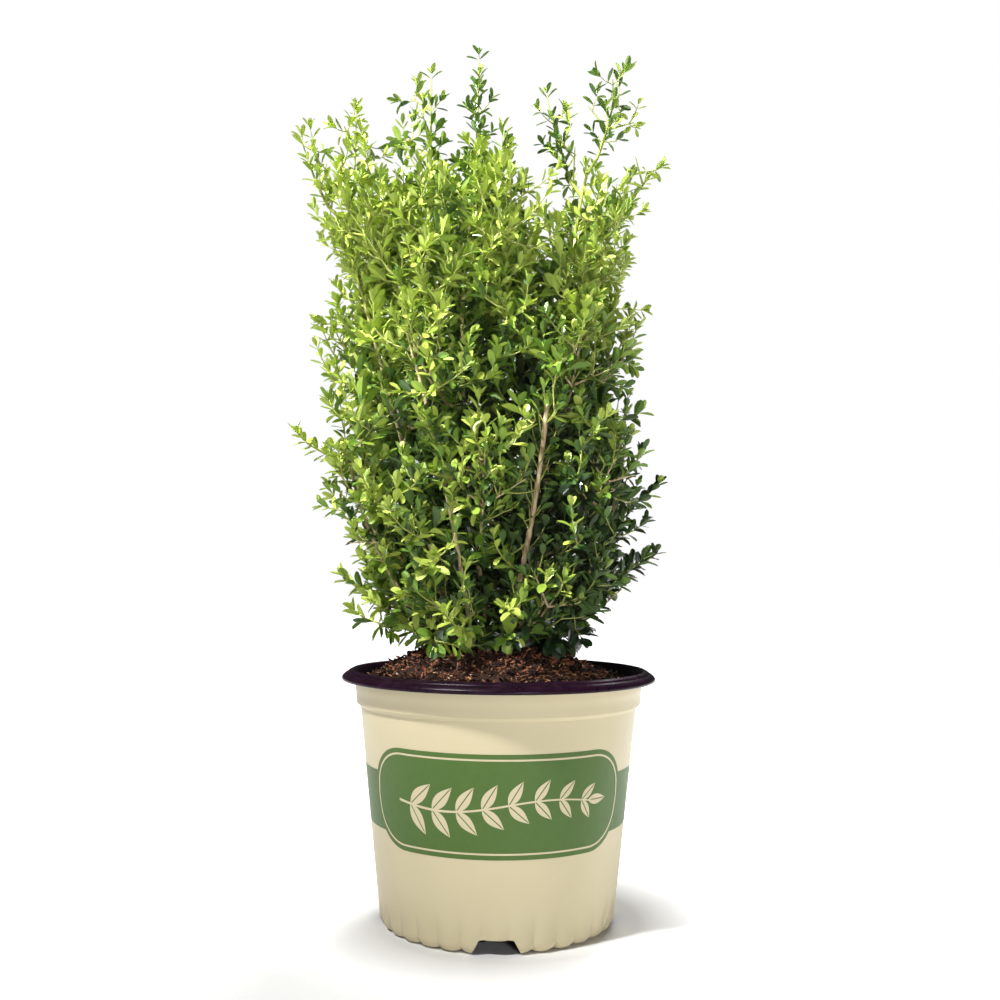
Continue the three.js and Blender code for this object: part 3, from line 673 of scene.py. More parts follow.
SHARD_COLOURS = {
    "bark_red": ((0.05, 0.018, 0.01), (0.3, 0.115, 0.055)),
    "bark_dark": ((0.006, 0.003, 0.002), (0.04, 0.017, 0.01)),
    "bark_tan": ((0.2, 0.09, 0.04), (0.7, 0.44, 0.25)),
    "perlite": ((0.55, 0.49, 0.4), (0.85, 0.8, 0.72)),
}
for seed, (shard_name, kind) in enumerate(SHARDS.items()):
    strewn = shard_piece(shard_name, kind, 40 + seed)
    strewn.data.materials.append(bark_finish(shard_name, *SHARD_COLOURS[shard_name]).material)
    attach(strewn, "root")


# The stems are woody shoots of one clump, each a tapering limb with corky tan bark that turns
# green where it is young. They stand in the mulch and flare at the foot. Their line, taper and
# flare are the ones the part is built by, drawn slimmer.
STEMS = [
    ("front_fork", (2, -44), (26, -72, 352), (40, -96, 462), (10, 7)),
    ("front_left", (-22, -46), (-48, -84, 392), (-84, -90, 530), (7.5, 4.5)),
    ("left_low", (-52, -20), (-110, -34, 335), (-138, -34, 420), (8, 4.5)),
    ("left_leader", (-38, -2), (-106, -24, 490), (-152, -20, 648), (9, 4.5)),
    ("centre_left", (-18, 8), (-60, 2, 480), (-69, -4, 664), (8.5, 4.5)),
    ("centre", (-6, -18), (-34, -50, 480), (-26, -22, 668), (8.5, 4.5)),
    ("right_leader", (28, -10), (56, -30, 540), (80, -16, 694), (10, 4.5)),
    ("right_low", (50, 2), (98, -2, 352), (118, 2, 440), (7.5, 4.5)),
    ("back_right", (34, 32), (74, 70, 430), (92, 78, 580), (8, 4.5)),
    ("back", (0, 46), (-8, 94, 440), (-18, 102, 590), (8, 4.5)),
    ("back_left", (-36, 34), (-82, 72, 430), (-108, 84, 570), (8, 4.5)),
]
STEM_STEPS = 7
FLARE = {"grow": 0.5, "height": 14}
BARK = {"sides": 12, "rung": 3.4, "wing": 0.07, "crack": 0.12, "node": 0.2, "node_step": 23, "slim": 0.55}
UP = np.array([0.0, 0.0, 1.0])


def unit(a):
    return a / math.sqrt(a @ a)


def cross(a, b):
    return np.array([a[1] * b[2] - a[2] * b[1], a[2] * b[0] - a[0] * b[2], a[0] * b[1] - a[1] * b[0]])


def bend(a, b, c):
    """A bent line from a to c that passes through b half-way."""
    a, b, c = (np.array(p, dtype=float) for p in (a, b, c))
    pull = 2 * b - (a + c) / 2
    return lambda t: (a * (1 - t) + pull * t) * (1 - t) + (pull * (1 - t) + c * t) * t


def stepped(line, steps):
    """The same line in straight steps, which is how the part's solids run."""
    corners = [line(i / steps) for i in range(steps + 1)]

    def place(t):
        i = max(0, min(steps - 1, int(math.floor(t * steps))))
        return corners[i] + (corners[i + 1] - corners[i]) * (t * steps - i)

    return place


def chain_of(line, steps):
    return np.array([line(i / steps) for i in range(steps + 1)])


def heading_at(line, t):
    return unit(line(min(1, t + 0.02)) - line(max(0, t - 0.02)))


class Stem:
    def __init__(self, name, foot, via, top, thick):
        self.name = name
        self.thick = thick
        self.curve = bend((*foot, MOUND_TOP - 3), via, top)
        self.line = stepped(self.curve, STEM_STEPS)
        self.chain = chain_of(self.line, STEM_STEPS)

    def radius(self, t, z):
        """Half its thickness at a share of its length, where it is at a height."""
        low, high = self.thick
        taper = (low + (high - low) * np.power(t, 0.85)) / 2
        return taper * (1 + FLARE["grow"] * np.exp(-(z - MOUND_TOP) / FLARE["height"]))


def stem_piece(stem, seed):
    """The limb with its relief: four low corky wings, cracks along them, and swellings at its nodes."""
    random = np.random.default_rng(seed)
    length = np.linalg.norm(np.diff(stem.chain, axis=0), axis=1).sum()
    rungs = int(length / BARK["rung"])
    sides = BARK["sides"]
    across = unit(cross(unit(stem.curve(1) - stem.curve(0)), np.array([0.3, 1, 0.05])))
    start = random.uniform(0, 6)
    points = []
    for i in range(rungs + 1):
        t = i / rungs
        centre, heading = stem.curve(t), heading_at(stem.curve, t)
        side = unit(across - heading * (across @ heading))
        other = cross(heading, side)
        near_node = math.exp(-((((t * length + start * 4) % BARK["node_step"]) - 5) / 2.2) ** 2)
        end = 0.0 if t > 0.999 else 1.0
        for k in range(sides):
            turn = k * 2 * math.pi / sides
            wing = BARK["wing"] * math.cos(4 * turn + start + t * 2)
            rough = noise.noise(Vector((math.cos(turn) * 2.2 + start, math.sin(turn) * 2.2, t * length / 5)))
            swell = BARK["slim"] * (1 + wing + rough * BARK["crack"] + near_node * BARK["node"])
            radius = stem.radius(t, centre[2]) * swell * (0.35 + 0.65 * end)
            points.append(centre + side * math.cos(turn) * radius + other * math.sin(turn) * radius)
    points += [stem.curve(0), stem.curve(1)]
    faces = []
    for i in range(rungs):
        for k in range(sides):
            a, b = i * sides + k, i * sides + (k + 1) % sides
            faces += [(a, b, b + sides), (a, b + sides, a + sides)]
    low, high, last = len(points) - 2, len(points) - 1, rungs * sides
    faces += [(low, (k + 1) % sides, k) for k in range(sides)]
    faces += [(high, last + k, last + (k + 1) % sides) for k in range(sides)]
    return piece_of("stem_" + stem.name + "_bark", points, faces)


corky_bark = Finish("corky_bark", roughness=0.8, specular_ior_level=0.3)
bark_streaks = corky_bark.grain(2.4, 4, stretch=(1, 1, 0.22))
bark_patches = corky_bark.grain(16, 3, stretch=(1, 1, 0.5))
streaked_bark = corky_bark.tint(bark_streaks.ramp(0.32, 0.68), (0.33, 0.2, 0.1), (0.78, 0.62, 0.4))
# Painted shade: low on the stems, below about 0.3 m, the bark is painted near-black brown where the crown
# shades it, fading to its own colour higher up.
painted_foot_shade = (corky_bark.height() + bark_patches * 0.06).ramp(0.275, 0.345)
shaded_tan_bark = corky_bark.tint(painted_foot_shade, (0.05, 0.03, 0.018), streaked_bark)
mossy_bark = corky_bark.tint(bark_patches.ramp(0.55, 0.75), shaded_tan_bark, (0.3, 0.3, 0.11))
green_share = (corky_bark.height() + bark_patches * 0.1).ramp(0.5, 0.66)
corky_bark.set(base_color=corky_bark.tint(green_share, mossy_bark, (0.3, 0.36, 0.06)))
corky_bark.bump(bark_streaks, 0.5)

stems = [Stem(*row) for row in STEMS]
for seed, stem in enumerate(stems):
    limb = stem_piece(stem, 60 + seed)
    limb.data.materials.append(corky_bark.material)
    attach(limb, "root")
    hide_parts("stem_" + stem.name)


# The boughs of the crown: every mass of foliage grows on one main twig that leaves a stem, bends
# up and out, and ends just inside the crown's reach. Nine are leaders over the crown and the rest
# stand round it in four rings. The rule, the seeds and the sizes are the part's own.
CROWN_Z = [250, 312, 400, 450, 555, 660, 740]
CROWN_LEFT = [92, 152, 174, 184, 178, 186, 202]
CROWN_RIGHT = [80, 145, 154, 140, 134, 132, 160]
CROWN_DEEP = [82, 126, 148, 152, 152, 142, 110]
TIERS = [
    ("skirt", 306, 20, 16, False, 22),
    ("waist", 432, 58, 46, True, 28),
    ("middle", 546, 62, 46, False, 28),
    ("shoulder", 654, 64, 46, True, 27),
]
SIDES_STRAIGHT = ["right", "back_right", "back_left", "left", "front_left", "front_right"]
SIDES_TURNED = ["right_back", "back", "left_back", "left_front", "front", "right_front"]
LEADERS = [
    ("leader_left", "left_leader", 1, (-198, -24, 734)),
    ("leader_inner_left", "left_leader", 0.86, (-138, -22, 760)),
    ("leader_centre_left", "centre_left", 1, (-69, -6, 806)),
    ("leader_centre", "centre", 1, (-23, -14, 821)),
    ("leader_right", "right_leader", 1, (117, -10, 804)),
    ("leader_inner_right", "right_leader", 0.88, (36, -8, 785)),
    ("leader_right_side", "right_leader", 0.76, (162, -8, 714)),
    ("leader_back", "back", 1, (-36, 88, 752)),
    ("leader_back_right", "back_right", 1, (84, 74, 744)),
]
SPINE_STEPS = 3
SPINE_SAG = 0.13
SPRAY = {"length": 48, "width": 29, "angle": 60, "belly": 0.56, "fold": 0.12}
TWIG = {"angle": 56, "lift": 0.1}
TWIG_SHARES = [1, 0.84, 0.7, 0.56]
SPRAY_SHARES = [1, 0.84, 0.7, 0.58]
FULL = {"rung": 24, "twig": 54, "leaf": 1, "pairs": [0.52, 0.84], "most": 11}
SLIM = {"rung": 22, "twig": 34, "leaf": 0.7, "pairs": [0.8], "most": 12}
TIP_SPRAY = 0.8
SPACING = 1.2
LIMB_GAP = 0.8
WITHIN = 0.93
INSIDE = 0.42
REACH = 1.03
HEART = 0.37
START = {"places": 24, "over": 16, "under": 12, "apart": 14, "stem_gap": 3, "twig_gap": 6, "favour": 22}


def seeded(seed):
    """Even random numbers from 0 to 1, the same ones that the part draws."""
    state = seed

    def draw():
        nonlocal state
        state = (state + 0x6D2B79F5) & 0xFFFFFFFF
        mixed = ((state ^ (state >> 15)) * (state | 1)) & 0xFFFFFFFF
        mixed ^= (mixed + (mixed ^ (mixed >> 7)) * (mixed | 61)) & 0xFFFFFFFF
        return (mixed ^ (mixed >> 14)) / 4294967296

    return draw


def near(chains, points):
    """For each chain and each point: how far apart they are, and how far along the chain that is."""
    step = chains[:, 1:] - chains[:, :-1]
    away = points[None, None] - chains[:, :-1, None]
    share = (away * step[:, :, None]).sum(3) / (step * step).sum(2)[:, :, None]
    share = np.clip(share, 0, 1)
    distance = np.linalg.norm(away - step[:, :, None] * share[..., None], axis=3)
    best = distance.argmin(axis=1)[:, None]
    t = (best + np.take_along_axis(share, best, axis=1)) / step.shape[1]
    return np.take_along_axis(distance, best, axis=1)[:, 0], t[:, 0]


def clear_of_stems(some, points, gap):
    """Whether all the points keep a gap to all of the stems."""
    points = np.atleast_2d(points)
    distance, t = near(np.array([stem.chain for stem in some]), points)
    for stem, away, share in zip(some, distance, t):
        z = np.array([stem.line(s)[2] for s in share])
        if not (away > stem.radius(share, z) + gap).all():
            return False
    return True


def outness(points):
    """How far out each point lies, as a share of the crown's reach."""
    points = np.atleast_2d(points)
    x, y, z = points.T
    wide = np.where(x < 0, np.interp(z, CROWN_Z, CROWN_LEFT), np.interp(z, CROWN_Z, CROWN_RIGHT))
    return np.hypot(x / wide, y / np.interp(z, CROWN_Z, CROWN_DEEP))


def spine_line(start, tip, habit):
    reach = tip - start
    end = tip - unit(reach) * SPRAY["length"] * habit["leaf"] * TIP_SPRAY * 0.9
    middle = (start + end) / 2
    low = middle - UP * SPINE_SAG * math.sqrt(reach @ reach)
    return stepped(bend(start, low, end), SPINE_STEPS)


class Mass:
    def __init__(self, name, seed, host, at, tip, habit, core):
        self.name = name
        self.seed = seed
        self.tip = np.array(tip, dtype=float)
        self.habit = habit
        self.core = core
        self.line = spine_line(host.line(at), self.tip, habit)
        self.chain = chain_of(self.line, SPINE_STEPS)


def free_place(masses, wish, tip):
    """The nearest place to the wished one from which a main twig runs clear to its tip."""
    places = []
    for host in stems:
        for k in range(1, START["places"] + 1):
            at = k / START["places"]
            start = host.line(at)
            if start[2] < MOUND_TOP + START["over"] or start[2] > tip[2] - START["under"]:
                continue
            away = start - wish
            places.append((math.sqrt(away @ away) - (START["favour"] if at == 1 else 0), host, at, start))
    places.sort(key=lambda place: place[0])
    starts = np.array([mass.line(0) for mass in masses])
    chains = np.array([mass.chain for mass in masses])
    for _, host, at, start in places:
        chain = chain_of(spine_line(start, tip, FULL), 16)
        others = [stem for stem in stems if stem is not host]
        if (
            (np.linalg.norm(starts - start, axis=1) > START["apart"]).all()
            and clear_of_stems(others, chain, START["stem_gap"])
            and (near(chains, chain[2:])[0] > START["twig_gap"]).all()
            and clear_of_stems([host], chain[5:], START["stem_gap"])
        ):
            return host, at
    return places[0][1:3]


def plan_masses():
    masses = []
    for i, (name, host_name, at, tip) in enumerate(LEADERS):
        host = next(stem for stem in stems if stem.name == host_name)
        masses.append(Mass(name, 100 + i, host, at, tip, SLIM, 0))
    for level, (tier, tip_z, rise, drop, is_turned, core) in enumerate(TIERS):
        for i, side in enumerate(SIDES_TURNED if is_turned else SIDES_STRAIGHT):
            seed = 1000 + level * 10 + i
            random = seeded(seed)
            angle = math.radians((i + (0.5 if is_turned else 0)) * 60 + (random() - 0.5) * 10)
            z = tip_z + (random() - 0.5) * 22
            wide = np.interp(z, CROWN_Z, CROWN_LEFT if math.cos(angle) < 0 else CROWN_RIGHT)
            push = 0.98 + random() * 0.05
            deep = np.interp(z, CROWN_Z, CROWN_DEEP)
            tip = np.array([math.cos(angle) * wide * push, math.sin(angle) * deep * push, z])
            wish = np.array([tip[0] * 0.3, tip[1] * 0.3, z - rise - drop])
            host, at = free_place(masses, wish, tip)
            masses.append(Mass(f"{tier}_{side}", seed, host, at, tip, FULL, core))
    return masses


def side_of(axis, turn):
    """The direction at right angles to an axis, turned round it."""
    flat = unit(cross(axis, np.array([0.31, 0.2, 0.93])))
    return flat * math.cos(turn) + cross(axis, flat) * math.sin(turn)


def spray_places(root, heading, face, length, width):
    side = cross(heading, face)
    u = np.arange(1, 11)[:, None, None] * 0.1
    half = width / 2 * np.minimum(u / SPRAY["belly"], (1 - u) / (1 - SPRAY["belly"]))
    share = np.array([-1, -0.5, 0, 0.5, 1])[None, :, None]
    lift = np.abs(share * half) * 2 * SPRAY["fold"]
    return (root + heading * u * length + side * share * half + face * lift).reshape(-1, 3)


class Growth:
    """One mass's side twigs and sprays, in the places where the part has its twigs and leaves."""

    def __init__(self, mass, masses):
        self.mass = mass
        self.others = np.array([other.chain for other in masses if other is not mass])
        self.heart = mass.line(HEART)
        self.twigs = []
        self.sprays = []
        self.random = seeded(mass.seed)
        self.grow()

    def free(self, points):
        if (points[:, 2] < MOUND_TOP + 4).any() or not clear_of_stems(stems, points, LIMB_GAP):
            return False
        own = near(self.mass.chain[None], points)[0][0]
        return bool((near(self.others, points)[0] > own + 2 * SPACING).all())

    def buried(self, point):
        away = point - self.heart
        return math.sqrt(away @ away) < self.mass.core * 0.9

    def add_spray(self, root, axis, turn, angle, grow):
        heading = axis * math.cos(angle) + side_of(axis, turn) * math.sin(angle)
        face = unit(axis - heading * (axis @ heading))
        for share in SPRAY_SHARES:
            scale = grow * share * self.mass.habit["leaf"]
            length, width = SPRAY["length"] * scale, SPRAY["width"] * scale
            places = spray_places(root, heading, face, length, width)
            if (outness(places) < REACH).all() and self.free(places):
                self.sprays.append((root, heading, length))
                return

    def add_pair(self, root, axis, turn, angle, grow):
        if not self.buried(root):
            self.add_spray(root, axis, turn, angle, grow)
            self.add_spray(root, axis, turn + math.pi, angle, grow)

    def add_twig(self, base, heading, turn, t):
        random, habit = self.random, self.mass.habit
        spread = math.radians(TWIG["angle"] + (random() - 0.5) * 16)
        side = heading * math.cos(spread) + side_of(heading, turn) * math.sin(spread)
        out = unit(side + UP * TWIG["lift"])
        wanted = habit["twig"] * (1.1 - 0.4 * t) * (0.85 + 0.25 * random())
        leaf_turn = random() * math.pi
        grow = 0.9 + 0.2 * random()
        for share in TWIG_SHARES:
            length = share * wanted
            end = outness(base + out * length)[0]
            if not INSIDE < end < WITHIN:
                continue
            path = np.array([base + out * length * (0.15 + 0.85 * u / 8) for u in range(9)])
            if self.free(path):
                break
        else:
            if not self.buried(base):
                self.add_spray(base, heading, turn, math.radians(SPRAY["angle"]), grow)
            return
        before = len(self.sprays)
        for n, share in enumerate(habit["pairs"]):
            angle = math.radians(SPRAY["angle"] - n * 16)
            self.add_pair(base + out * length * share, out, leaf_turn + n * math.pi / 2, angle, grow)
        if len(self.sprays) > before:
            self.twigs.append((base, base + out * length))

    def grow(self):
        line, habit = self.mass.line, self.mass.habit
        turn0 = self.random() * math.pi
        tip_angle = math.radians(SPRAY["angle"] - 30)
        self.add_pair(line(0.98), heading_at(line, 1), turn0, tip_angle, TIP_SPRAY)
        reach = line(1) - line(0)
        rungs = max(3, int(math.sqrt(reach @ reach) / habit["rung"] + 0.5))
        for k in range(rungs):
            if len(self.sprays) >= habit["most"]:
                break
            t = 0.86 + (0.26 - 0.86) * k / (rungs - 1)
            turn = turn0 + (k + 1) * math.pi / 2 + (self.random() - 0.5) * 0.6
            self.add_twig(line(t), heading_at(line, t), turn, t)
            self.add_twig(line(t), heading_at(line, t), turn + math.pi, t)


masses = plan_masses()
growths = [Growth(mass, masses) for mass in masses]


# The finer growth. Each spray of the part is a green shoot with leaves in opposite pairs, every
# pair a quarter turn round from the last, and a tuft of new leaves at its tip. Short shoots stand
# on all the twigs, and longer ones rise wherever the crown would show a hole between the boughs.
LEAF_LENGTH_Z = [250, 450, 620, 720, 820]
LEAF_LENGTH = [16.5, 15.5, 14.5, 14.5, 14.5]
LEAF_SLENDER_Z = [420, 600]
LEAF_SLENDER = [0.48, 0.38]
LEAF_TILT = 0.14
LEAF_PAIR_STEP = 8.2
LEAF_ANGLES = (70, 33)
LEAF_WIDTHS = (0.84, 1.16)
LEAF_LENGTHS = (0.84, 1.12)
LEAF_FOLDS = (0.15, 0.55)
LEAF_CURLS = (-0.1, 0.24)
SHOOT_VIGOUR = (0.88, 1.12)
SHOOT_LEAVES = ((0, 0.35, 0.7, 1), (0.78, 1, 0.95, 0.7))
SHOOT_TAPER = np.array([1, 0.88, 0.74, 0.5])
SHOOT_ELBOW = np.array([0.8, 0.8, 0.36])
TUFT = ((0.78, 32), (0.5, 14))
TIP_BRIGHTER = 0.14
TUFT_BRIGHTER = 0.2
CELL = 20
CROWD_Z = [300, 560, 680, 760]
CROWD_MOST = [10, 9, 7, 4]
CROWD_LEAST = [6, 6, 4, 0]
CROWD_INSIDE = 0.5
SHOOT_Z = [640, 760]
SHOOT_SHARE = [1, 0.72]
REACH_OF_TIPS = 1.0
OPEN_X = [-205, -170, -120, -60, -15, 15, 30, 62, 85, 110, 140, 165]
OPEN_Z = [640, 690, 702, 714, 712, 690, 642, 644, 668, 672, 636, 590]
OPENINGS = [(118, 624, 26), (32, 664, 18), (112, 274, 24), (-150, 500, 12), (-152, 590, 14)]
UNDER_X = [-160, -147, -102, -60, 60, 80, 100, 120, 141, 160]
UNDER_Z = [306, 288, 264, 250, 252, 280, 302, 318, 332, 348]
HOLES = {"grid": 22, "wide": 210, "z": (262, 712), "jitter": 8, "near": 16, "far": 92, "inside": 0.95}
RAGGED = {"size": 55, "depth": 0.3}
POCKETS = {"size": 34, "over": 0.26, "from": 0.5}
SHOWN_STEMS = {
    "front_fork": {"z": (322, 478), "half": 9, "share": 0.93},
    "right_leader": {"z": (560, 705), "half": 8, "share": 0.75},
    "left_leader": {"z": (505, 600), "half": 5, "share": 0.6},
}
OUTER_SHOOTS = [
    (-190, -15, 446, 0.35), (-163, 10, 397, 0.1), (-163, -25, 377, 0.1), (-146, 0, 312, 0.1),
    (-134, -15, 280, 0.05), (-98, -30, 262, 0.0), (-160, -10, 478, 0.2), (-173, 0, 553, 0.15),
    (-160, 15, 592, 0.15), (-168, -20, 627, 0.15), (-181, 5, 665, 0.15), (147, -15, 400, -0.1),
    (138, 10, 366, -0.1), (143, -20, 336, -0.15), (120, 0, 326, -0.15),
    (75, -30, 258, -0.15), (132, -20, 657, 0.0), (120, 12, 617, 0.0), (133, -10, 565, 0.0),
    (127, 5, 513, 0.0), (130, -15, 467, -0.05), (134, 10, 430, -0.05), (152, -8, 704, 0.1),
    (-55, -118, 330, 0.42), (-46, -112, 283, 0.42), (5, -116, 288, 0.4), (-84, -70, 296, 0.35),
    (-122, -48, 330, 0.35), (-96, -92, 372, 0.4), (-20, -122, 402, 0.35), (22, -108, 300, 0.3),
    (-70, -112, 450, 0.35), (-118, -86, 520, 0.3), (-30, -130, 498, 0.3), (60, -118, 372, 0.2),
    (-36, -112, 352, 0.0), (-40, -114, 384, 0.05), (-50, -116, 416, 0.0), (-62, -114, 446, 0.05),
    (-28, -104, 322, 0.0), (-54, -80, 254, -0.35), (-34, -86, 252, -0.3), (-14, -82, 254, -0.4),
    (-66, -62, 258, -0.3), (10, -76, 258, -0.5), (92, -98, 452, 0.15), (70, -124, 530, 0.2),
    (-64, -128, 588, 0.3), (10, -130, 610, 0.3),
]
OUTER_REACH = {"far": 200, "leafy": 60}
SPUR_ANGLE = 46
SPURS = {
    "twig": {"span": (0.2, 0.95), "step": 12, "length": (13, 24), "shift": 0.02},
    "bough": {"span": (0.12, 0.97), "step": 11, "length": (17, 33), "shift": 0.0, "tip": 26},
    "leader": {"span": (0.12, 0.84), "step": 11, "length": (17, 33), "shift": 0.0, "tip": 17},
    "stem": {"span": (0.06, 1.0), "step": 13, "length": (16, 34), "shift": -0.1},
}
WOODY_KNOTS = np.linspace(0, 1, 7)
BOUGH_WIDTHS = (1.9, 0.6)
TWIG_WIDTHS = (1.15, 0.4)
THIN = {"cell": 0.6, "z": (256, 690), "wide": 150, "out": 0.74, "below": 24, "apart": 8, "under": 5}
THIN_DEPTH = {"share": (-0.45, 0.6), "of": 130}
OLDER = {"far": 120, "leafy": 14, "grown": 1.45, "tint": -0.04}
TINTS = ["lime", "fresh", "mid", "deep", "dark"]
TINT_LIMITS = (0.8, 0.6, 0.42, 0.24)
# The tints that leaves are dealt by place are young growth and painted light together. They are lighter high
# up, at the crown's rim and on its left, where the lamps fall. Painted shade makes them darker inside the
# crown and to its right, and darkest low on its right.
TINT_Z = [260, 420, 500, 560, 600, 660, 720, 800]
TINT_HIGH = [0.32, 0.4, 0.54, 0.74, 0.8, 0.72, 0.62, 0.58]
TINT_SPREAD = {"z": (420, 600), "by": (0.23, 0.14)}
TINT_SHADE = {"most": 0.36, "right": 50, "z": 430, "over": 90}
TINT_RIM = {"z": (460, 600), "by": (0.7, 0.4), "from": 0.74}
TINT_SIDE_LIGHT = {"z": (400, 500), "by": (0.2, 0.12), "wide": 150}
YOUNG = {"z": (420, 520), "share": 0.16, "beyond": 0.6, "right": 60, "fewer": 0.4, "lift": 0.36}

# Which outer shoots are young and bright is drawn on its own, so that it doesn't move any leaf.
fine = np.random.default_rng(5)
luck = np.random.default_rng(8)
crowd = {}
green_paths = []
green_widths = []
holds = []
leaf_rows = {tint: [] for tint in TINTS}


def cell_of(place):
    return tuple(int(k // CELL) for k in place)


def crowded(place):
    return crowd.get(cell_of(place), 0) >= np.interp(place[2], CROWD_Z, CROWD_MOST)


def ragged(place):
    """How far out shoots may reach round a place, so that the crown's surface comes and goes."""
    return 1 - RAGGED["depth"] * (0.5 + noise.noise(Vector(place) / RAGGED["size"]))


def open_above(x):
    """How high the crown is dense: only the leading shoots stand over this, against the sky."""
    return np.interp(x, OPEN_X, OPEN_Z)


def open_below(x):
    """Where the crown's underside is: it rises to each side of the clump."""
    return np.interp(x, UNDER_X, UNDER_Z)


def pocket(place):
    """Whether a place lies in one of the gaps that the crown has among its outer shoots."""
    if any(math.hypot(place[0] - x, place[2] - z) < radius for x, z, radius in OPENINGS):
        return True
    gap = noise.noise(Vector(place) / POCKETS["size"] + Vector((7, 3, 5)))
    return gap > POCKETS["over"] and outness(place)[0] > POCKETS["from"]


def hides_stem(place):
    """Whether a place lies right in front of a stretch of stem that stands in the open."""
    for stem in stems:
        shown = SHOWN_STEMS.get(stem.name)
        if not shown or not shown["z"][0] < place[2] < shown["z"][1]:
            continue
        chain = stem.chain
        x, y = (np.interp(place[2], chain[:, 2], chain[:, axis]) for axis in (0, 1))
        aside = place[0] / (place[1] - CAMERA_PLACE[1]) * (y - CAMERA_PLACE[1]) - x
        if place[1] < y and abs(aside) < shown["half"] and fine.uniform() < shown["share"]:
            return True
    return False


def youth_and_painted_light(place):
    """How bright the growth is at a place, as young growth and painted light: brightest over the crown, to
    its left and at its rim, with painted shade inside, to the right and low on the right.
    """
    high = np.interp(place[2], TINT_Z, TINT_HIGH)
    right = min(1, max(0, place[0] / TINT_SHADE["right"]))
    low = min(1, max(0, (TINT_SHADE["z"] - place[2]) / TINT_SHADE["over"]))
    rim = np.interp(place[2], TINT_RIM["z"], TINT_RIM["by"]) * (outness(place)[0] - TINT_RIM["from"])
    lean = np.interp(place[2], TINT_SIDE_LIGHT["z"], TINT_SIDE_LIGHT["by"]) * place[0] / TINT_SIDE_LIGHT["wide"]
    return high - TINT_SHADE["most"] * right * low - lean + rim


def add_leaf(root, axis, side, angle, length, value):
    heading = unit(axis * math.cos(angle) + side * math.sin(angle) + fine.normal(0, LEAF_TILT, 3))
    if hides_stem(root + heading * length * 0.6):
        return
    face = axis + UP * 0.8
    face = unit(face - heading * (face @ heading))
    width = length * np.interp(root[2], LEAF_SLENDER_Z, LEAF_SLENDER) * fine.uniform(*LEAF_WIDTHS)
    fold = fine.uniform(*LEAF_FOLDS)
    curl = fine.uniform(*LEAF_CURLS)
    value += fine.normal(0, np.interp(root[2], TINT_SPREAD["z"], TINT_SPREAD["by"]))
    tint = TINTS[sum(value < limit for limit in TINT_LIMITS)]
    leaf_rows[tint].append((root, heading, face, length, width, fold, curl))
    cell = cell_of(root + heading * length / 2)
    crowd[cell] = crowd.get(cell, 0) + 1


def grow_shoot(root, elbow, end, value, bare=0.0, grown=1.0):
    """A green shoot that leaves its limb towards an elbow and ends at a place, and its leaves."""
    chance = np.interp(end[2], YOUNG["z"], (YOUNG["share"], 0))
    if end[0] > YOUNG["right"]:
        chance *= YOUNG["fewer"]
    if luck.uniform() < chance and outness(end)[0] > YOUNG["beyond"]:
        value += YOUNG["lift"]
    times = np.linspace(0, 1, 4)[:, None]
    path = root * (1 - times) ** 2 + elbow * 2 * times * (1 - times) + end * times**2
    green_paths.append(path)
    reach = math.sqrt((elbow - root) @ (elbow - root)) + math.sqrt((end - elbow) @ (end - elbow))
    thick = min(1.15, 0.6 + reach / 160)
    green_widths.append(thick * SHOOT_TAPER)
    pairs = max(1, int(reach * (1 - bare) / LEAF_PAIR_STEP + 0.5))
    turn = fine.uniform(0, math.pi)
    vigour = fine.uniform(*SHOOT_VIGOUR) * grown
    for i in range(pairs):
        t = bare + (1 - bare) * (i + 0.6) / pairs
        place = root * (1 - t) ** 2 + elbow * 2 * t * (1 - t) + end * t * t
        axis = unit((elbow - root) * (1 - t) + (end - elbow) * t)
        share = np.interp(t, *SHOOT_LEAVES) * vigour
        size = np.interp(place[2], LEAF_LENGTH_Z, LEAF_LENGTH) * share
        angle = LEAF_ANGLES[0] + (LEAF_ANGLES[1] - LEAF_ANGLES[0]) * t + fine.normal(0, 7)
        lean = side_of(axis, turn)
        for side in (1, -1):
            length = size * fine.uniform(*LEAF_LENGTHS)
            add_leaf(place, axis, lean * side, math.radians(angle), length, value + TIP_BRIGHTER * t)
        turn += math.pi / 2 + fine.normal(0, 0.15)
    axis = unit(end - elbow)
    size = np.interp(end[2], LEAF_LENGTH_Z, LEAF_LENGTH) * vigour
    for share, angle in TUFT:
        lean = side_of(axis, turn)
        for side in (1, -1):
            add_leaf(end, axis, lean * side, math.radians(angle), size * share, value + TUFT_BRIGHTER)
        turn += math.pi / 2


def add_sprig(root, heading, length, value, lift=0.5, always=False):
    """A short shoot. Nothing grows where it would leave the crown's space or crowd it."""
    length *= np.interp(root[2], SHOOT_Z, SHOOT_SHARE)
    out = unit(heading + UP * lift)
    end = root + out * length
    limit = REACH_OF_TIPS if always else min(REACH_OF_TIPS, ragged(end) + 0.06)
    if outness(end + out * 8)[0] > limit or end[2] < max(MOUND_TOP + 8, open_below(end[0])):
        return False
    if not always and (crowded((root + end) / 2) or pocket(end) or end[2] > open_above(end[0])):
        return False
    grow_shoot(root, root + heading * length * 0.5, end, value)
    return True


def clothe(line, length, spurs):
    """Sets pairs of short shoots along a limb."""
    start, stop = spurs["span"]
    count = max(1, int(length * (stop - start) / spurs["step"]))
    turn = fine.uniform(0, math.pi)
    for i in range(count):
        t = start + (stop - start) * (i + fine.uniform(0.2, 0.8)) / count
        root, heading = line(t), heading_at(line, t)
        holds.append(root)
        value = youth_and_painted_light(root) + spurs["shift"] + fine.normal(0, 0.1)
        for side in (0, math.pi):
            spread = math.radians(SPUR_ANGLE + fine.normal(0, 9))
            out = heading * math.cos(spread) + side_of(heading, turn + side) * math.sin(spread)
            wanted = fine.uniform(*spurs["length"])
            add_sprig(root, out, wanted, value) or add_sprig(root, out, wanted * 0.55, value)
        turn += math.pi / 2 + fine.normal(0, 0.2)


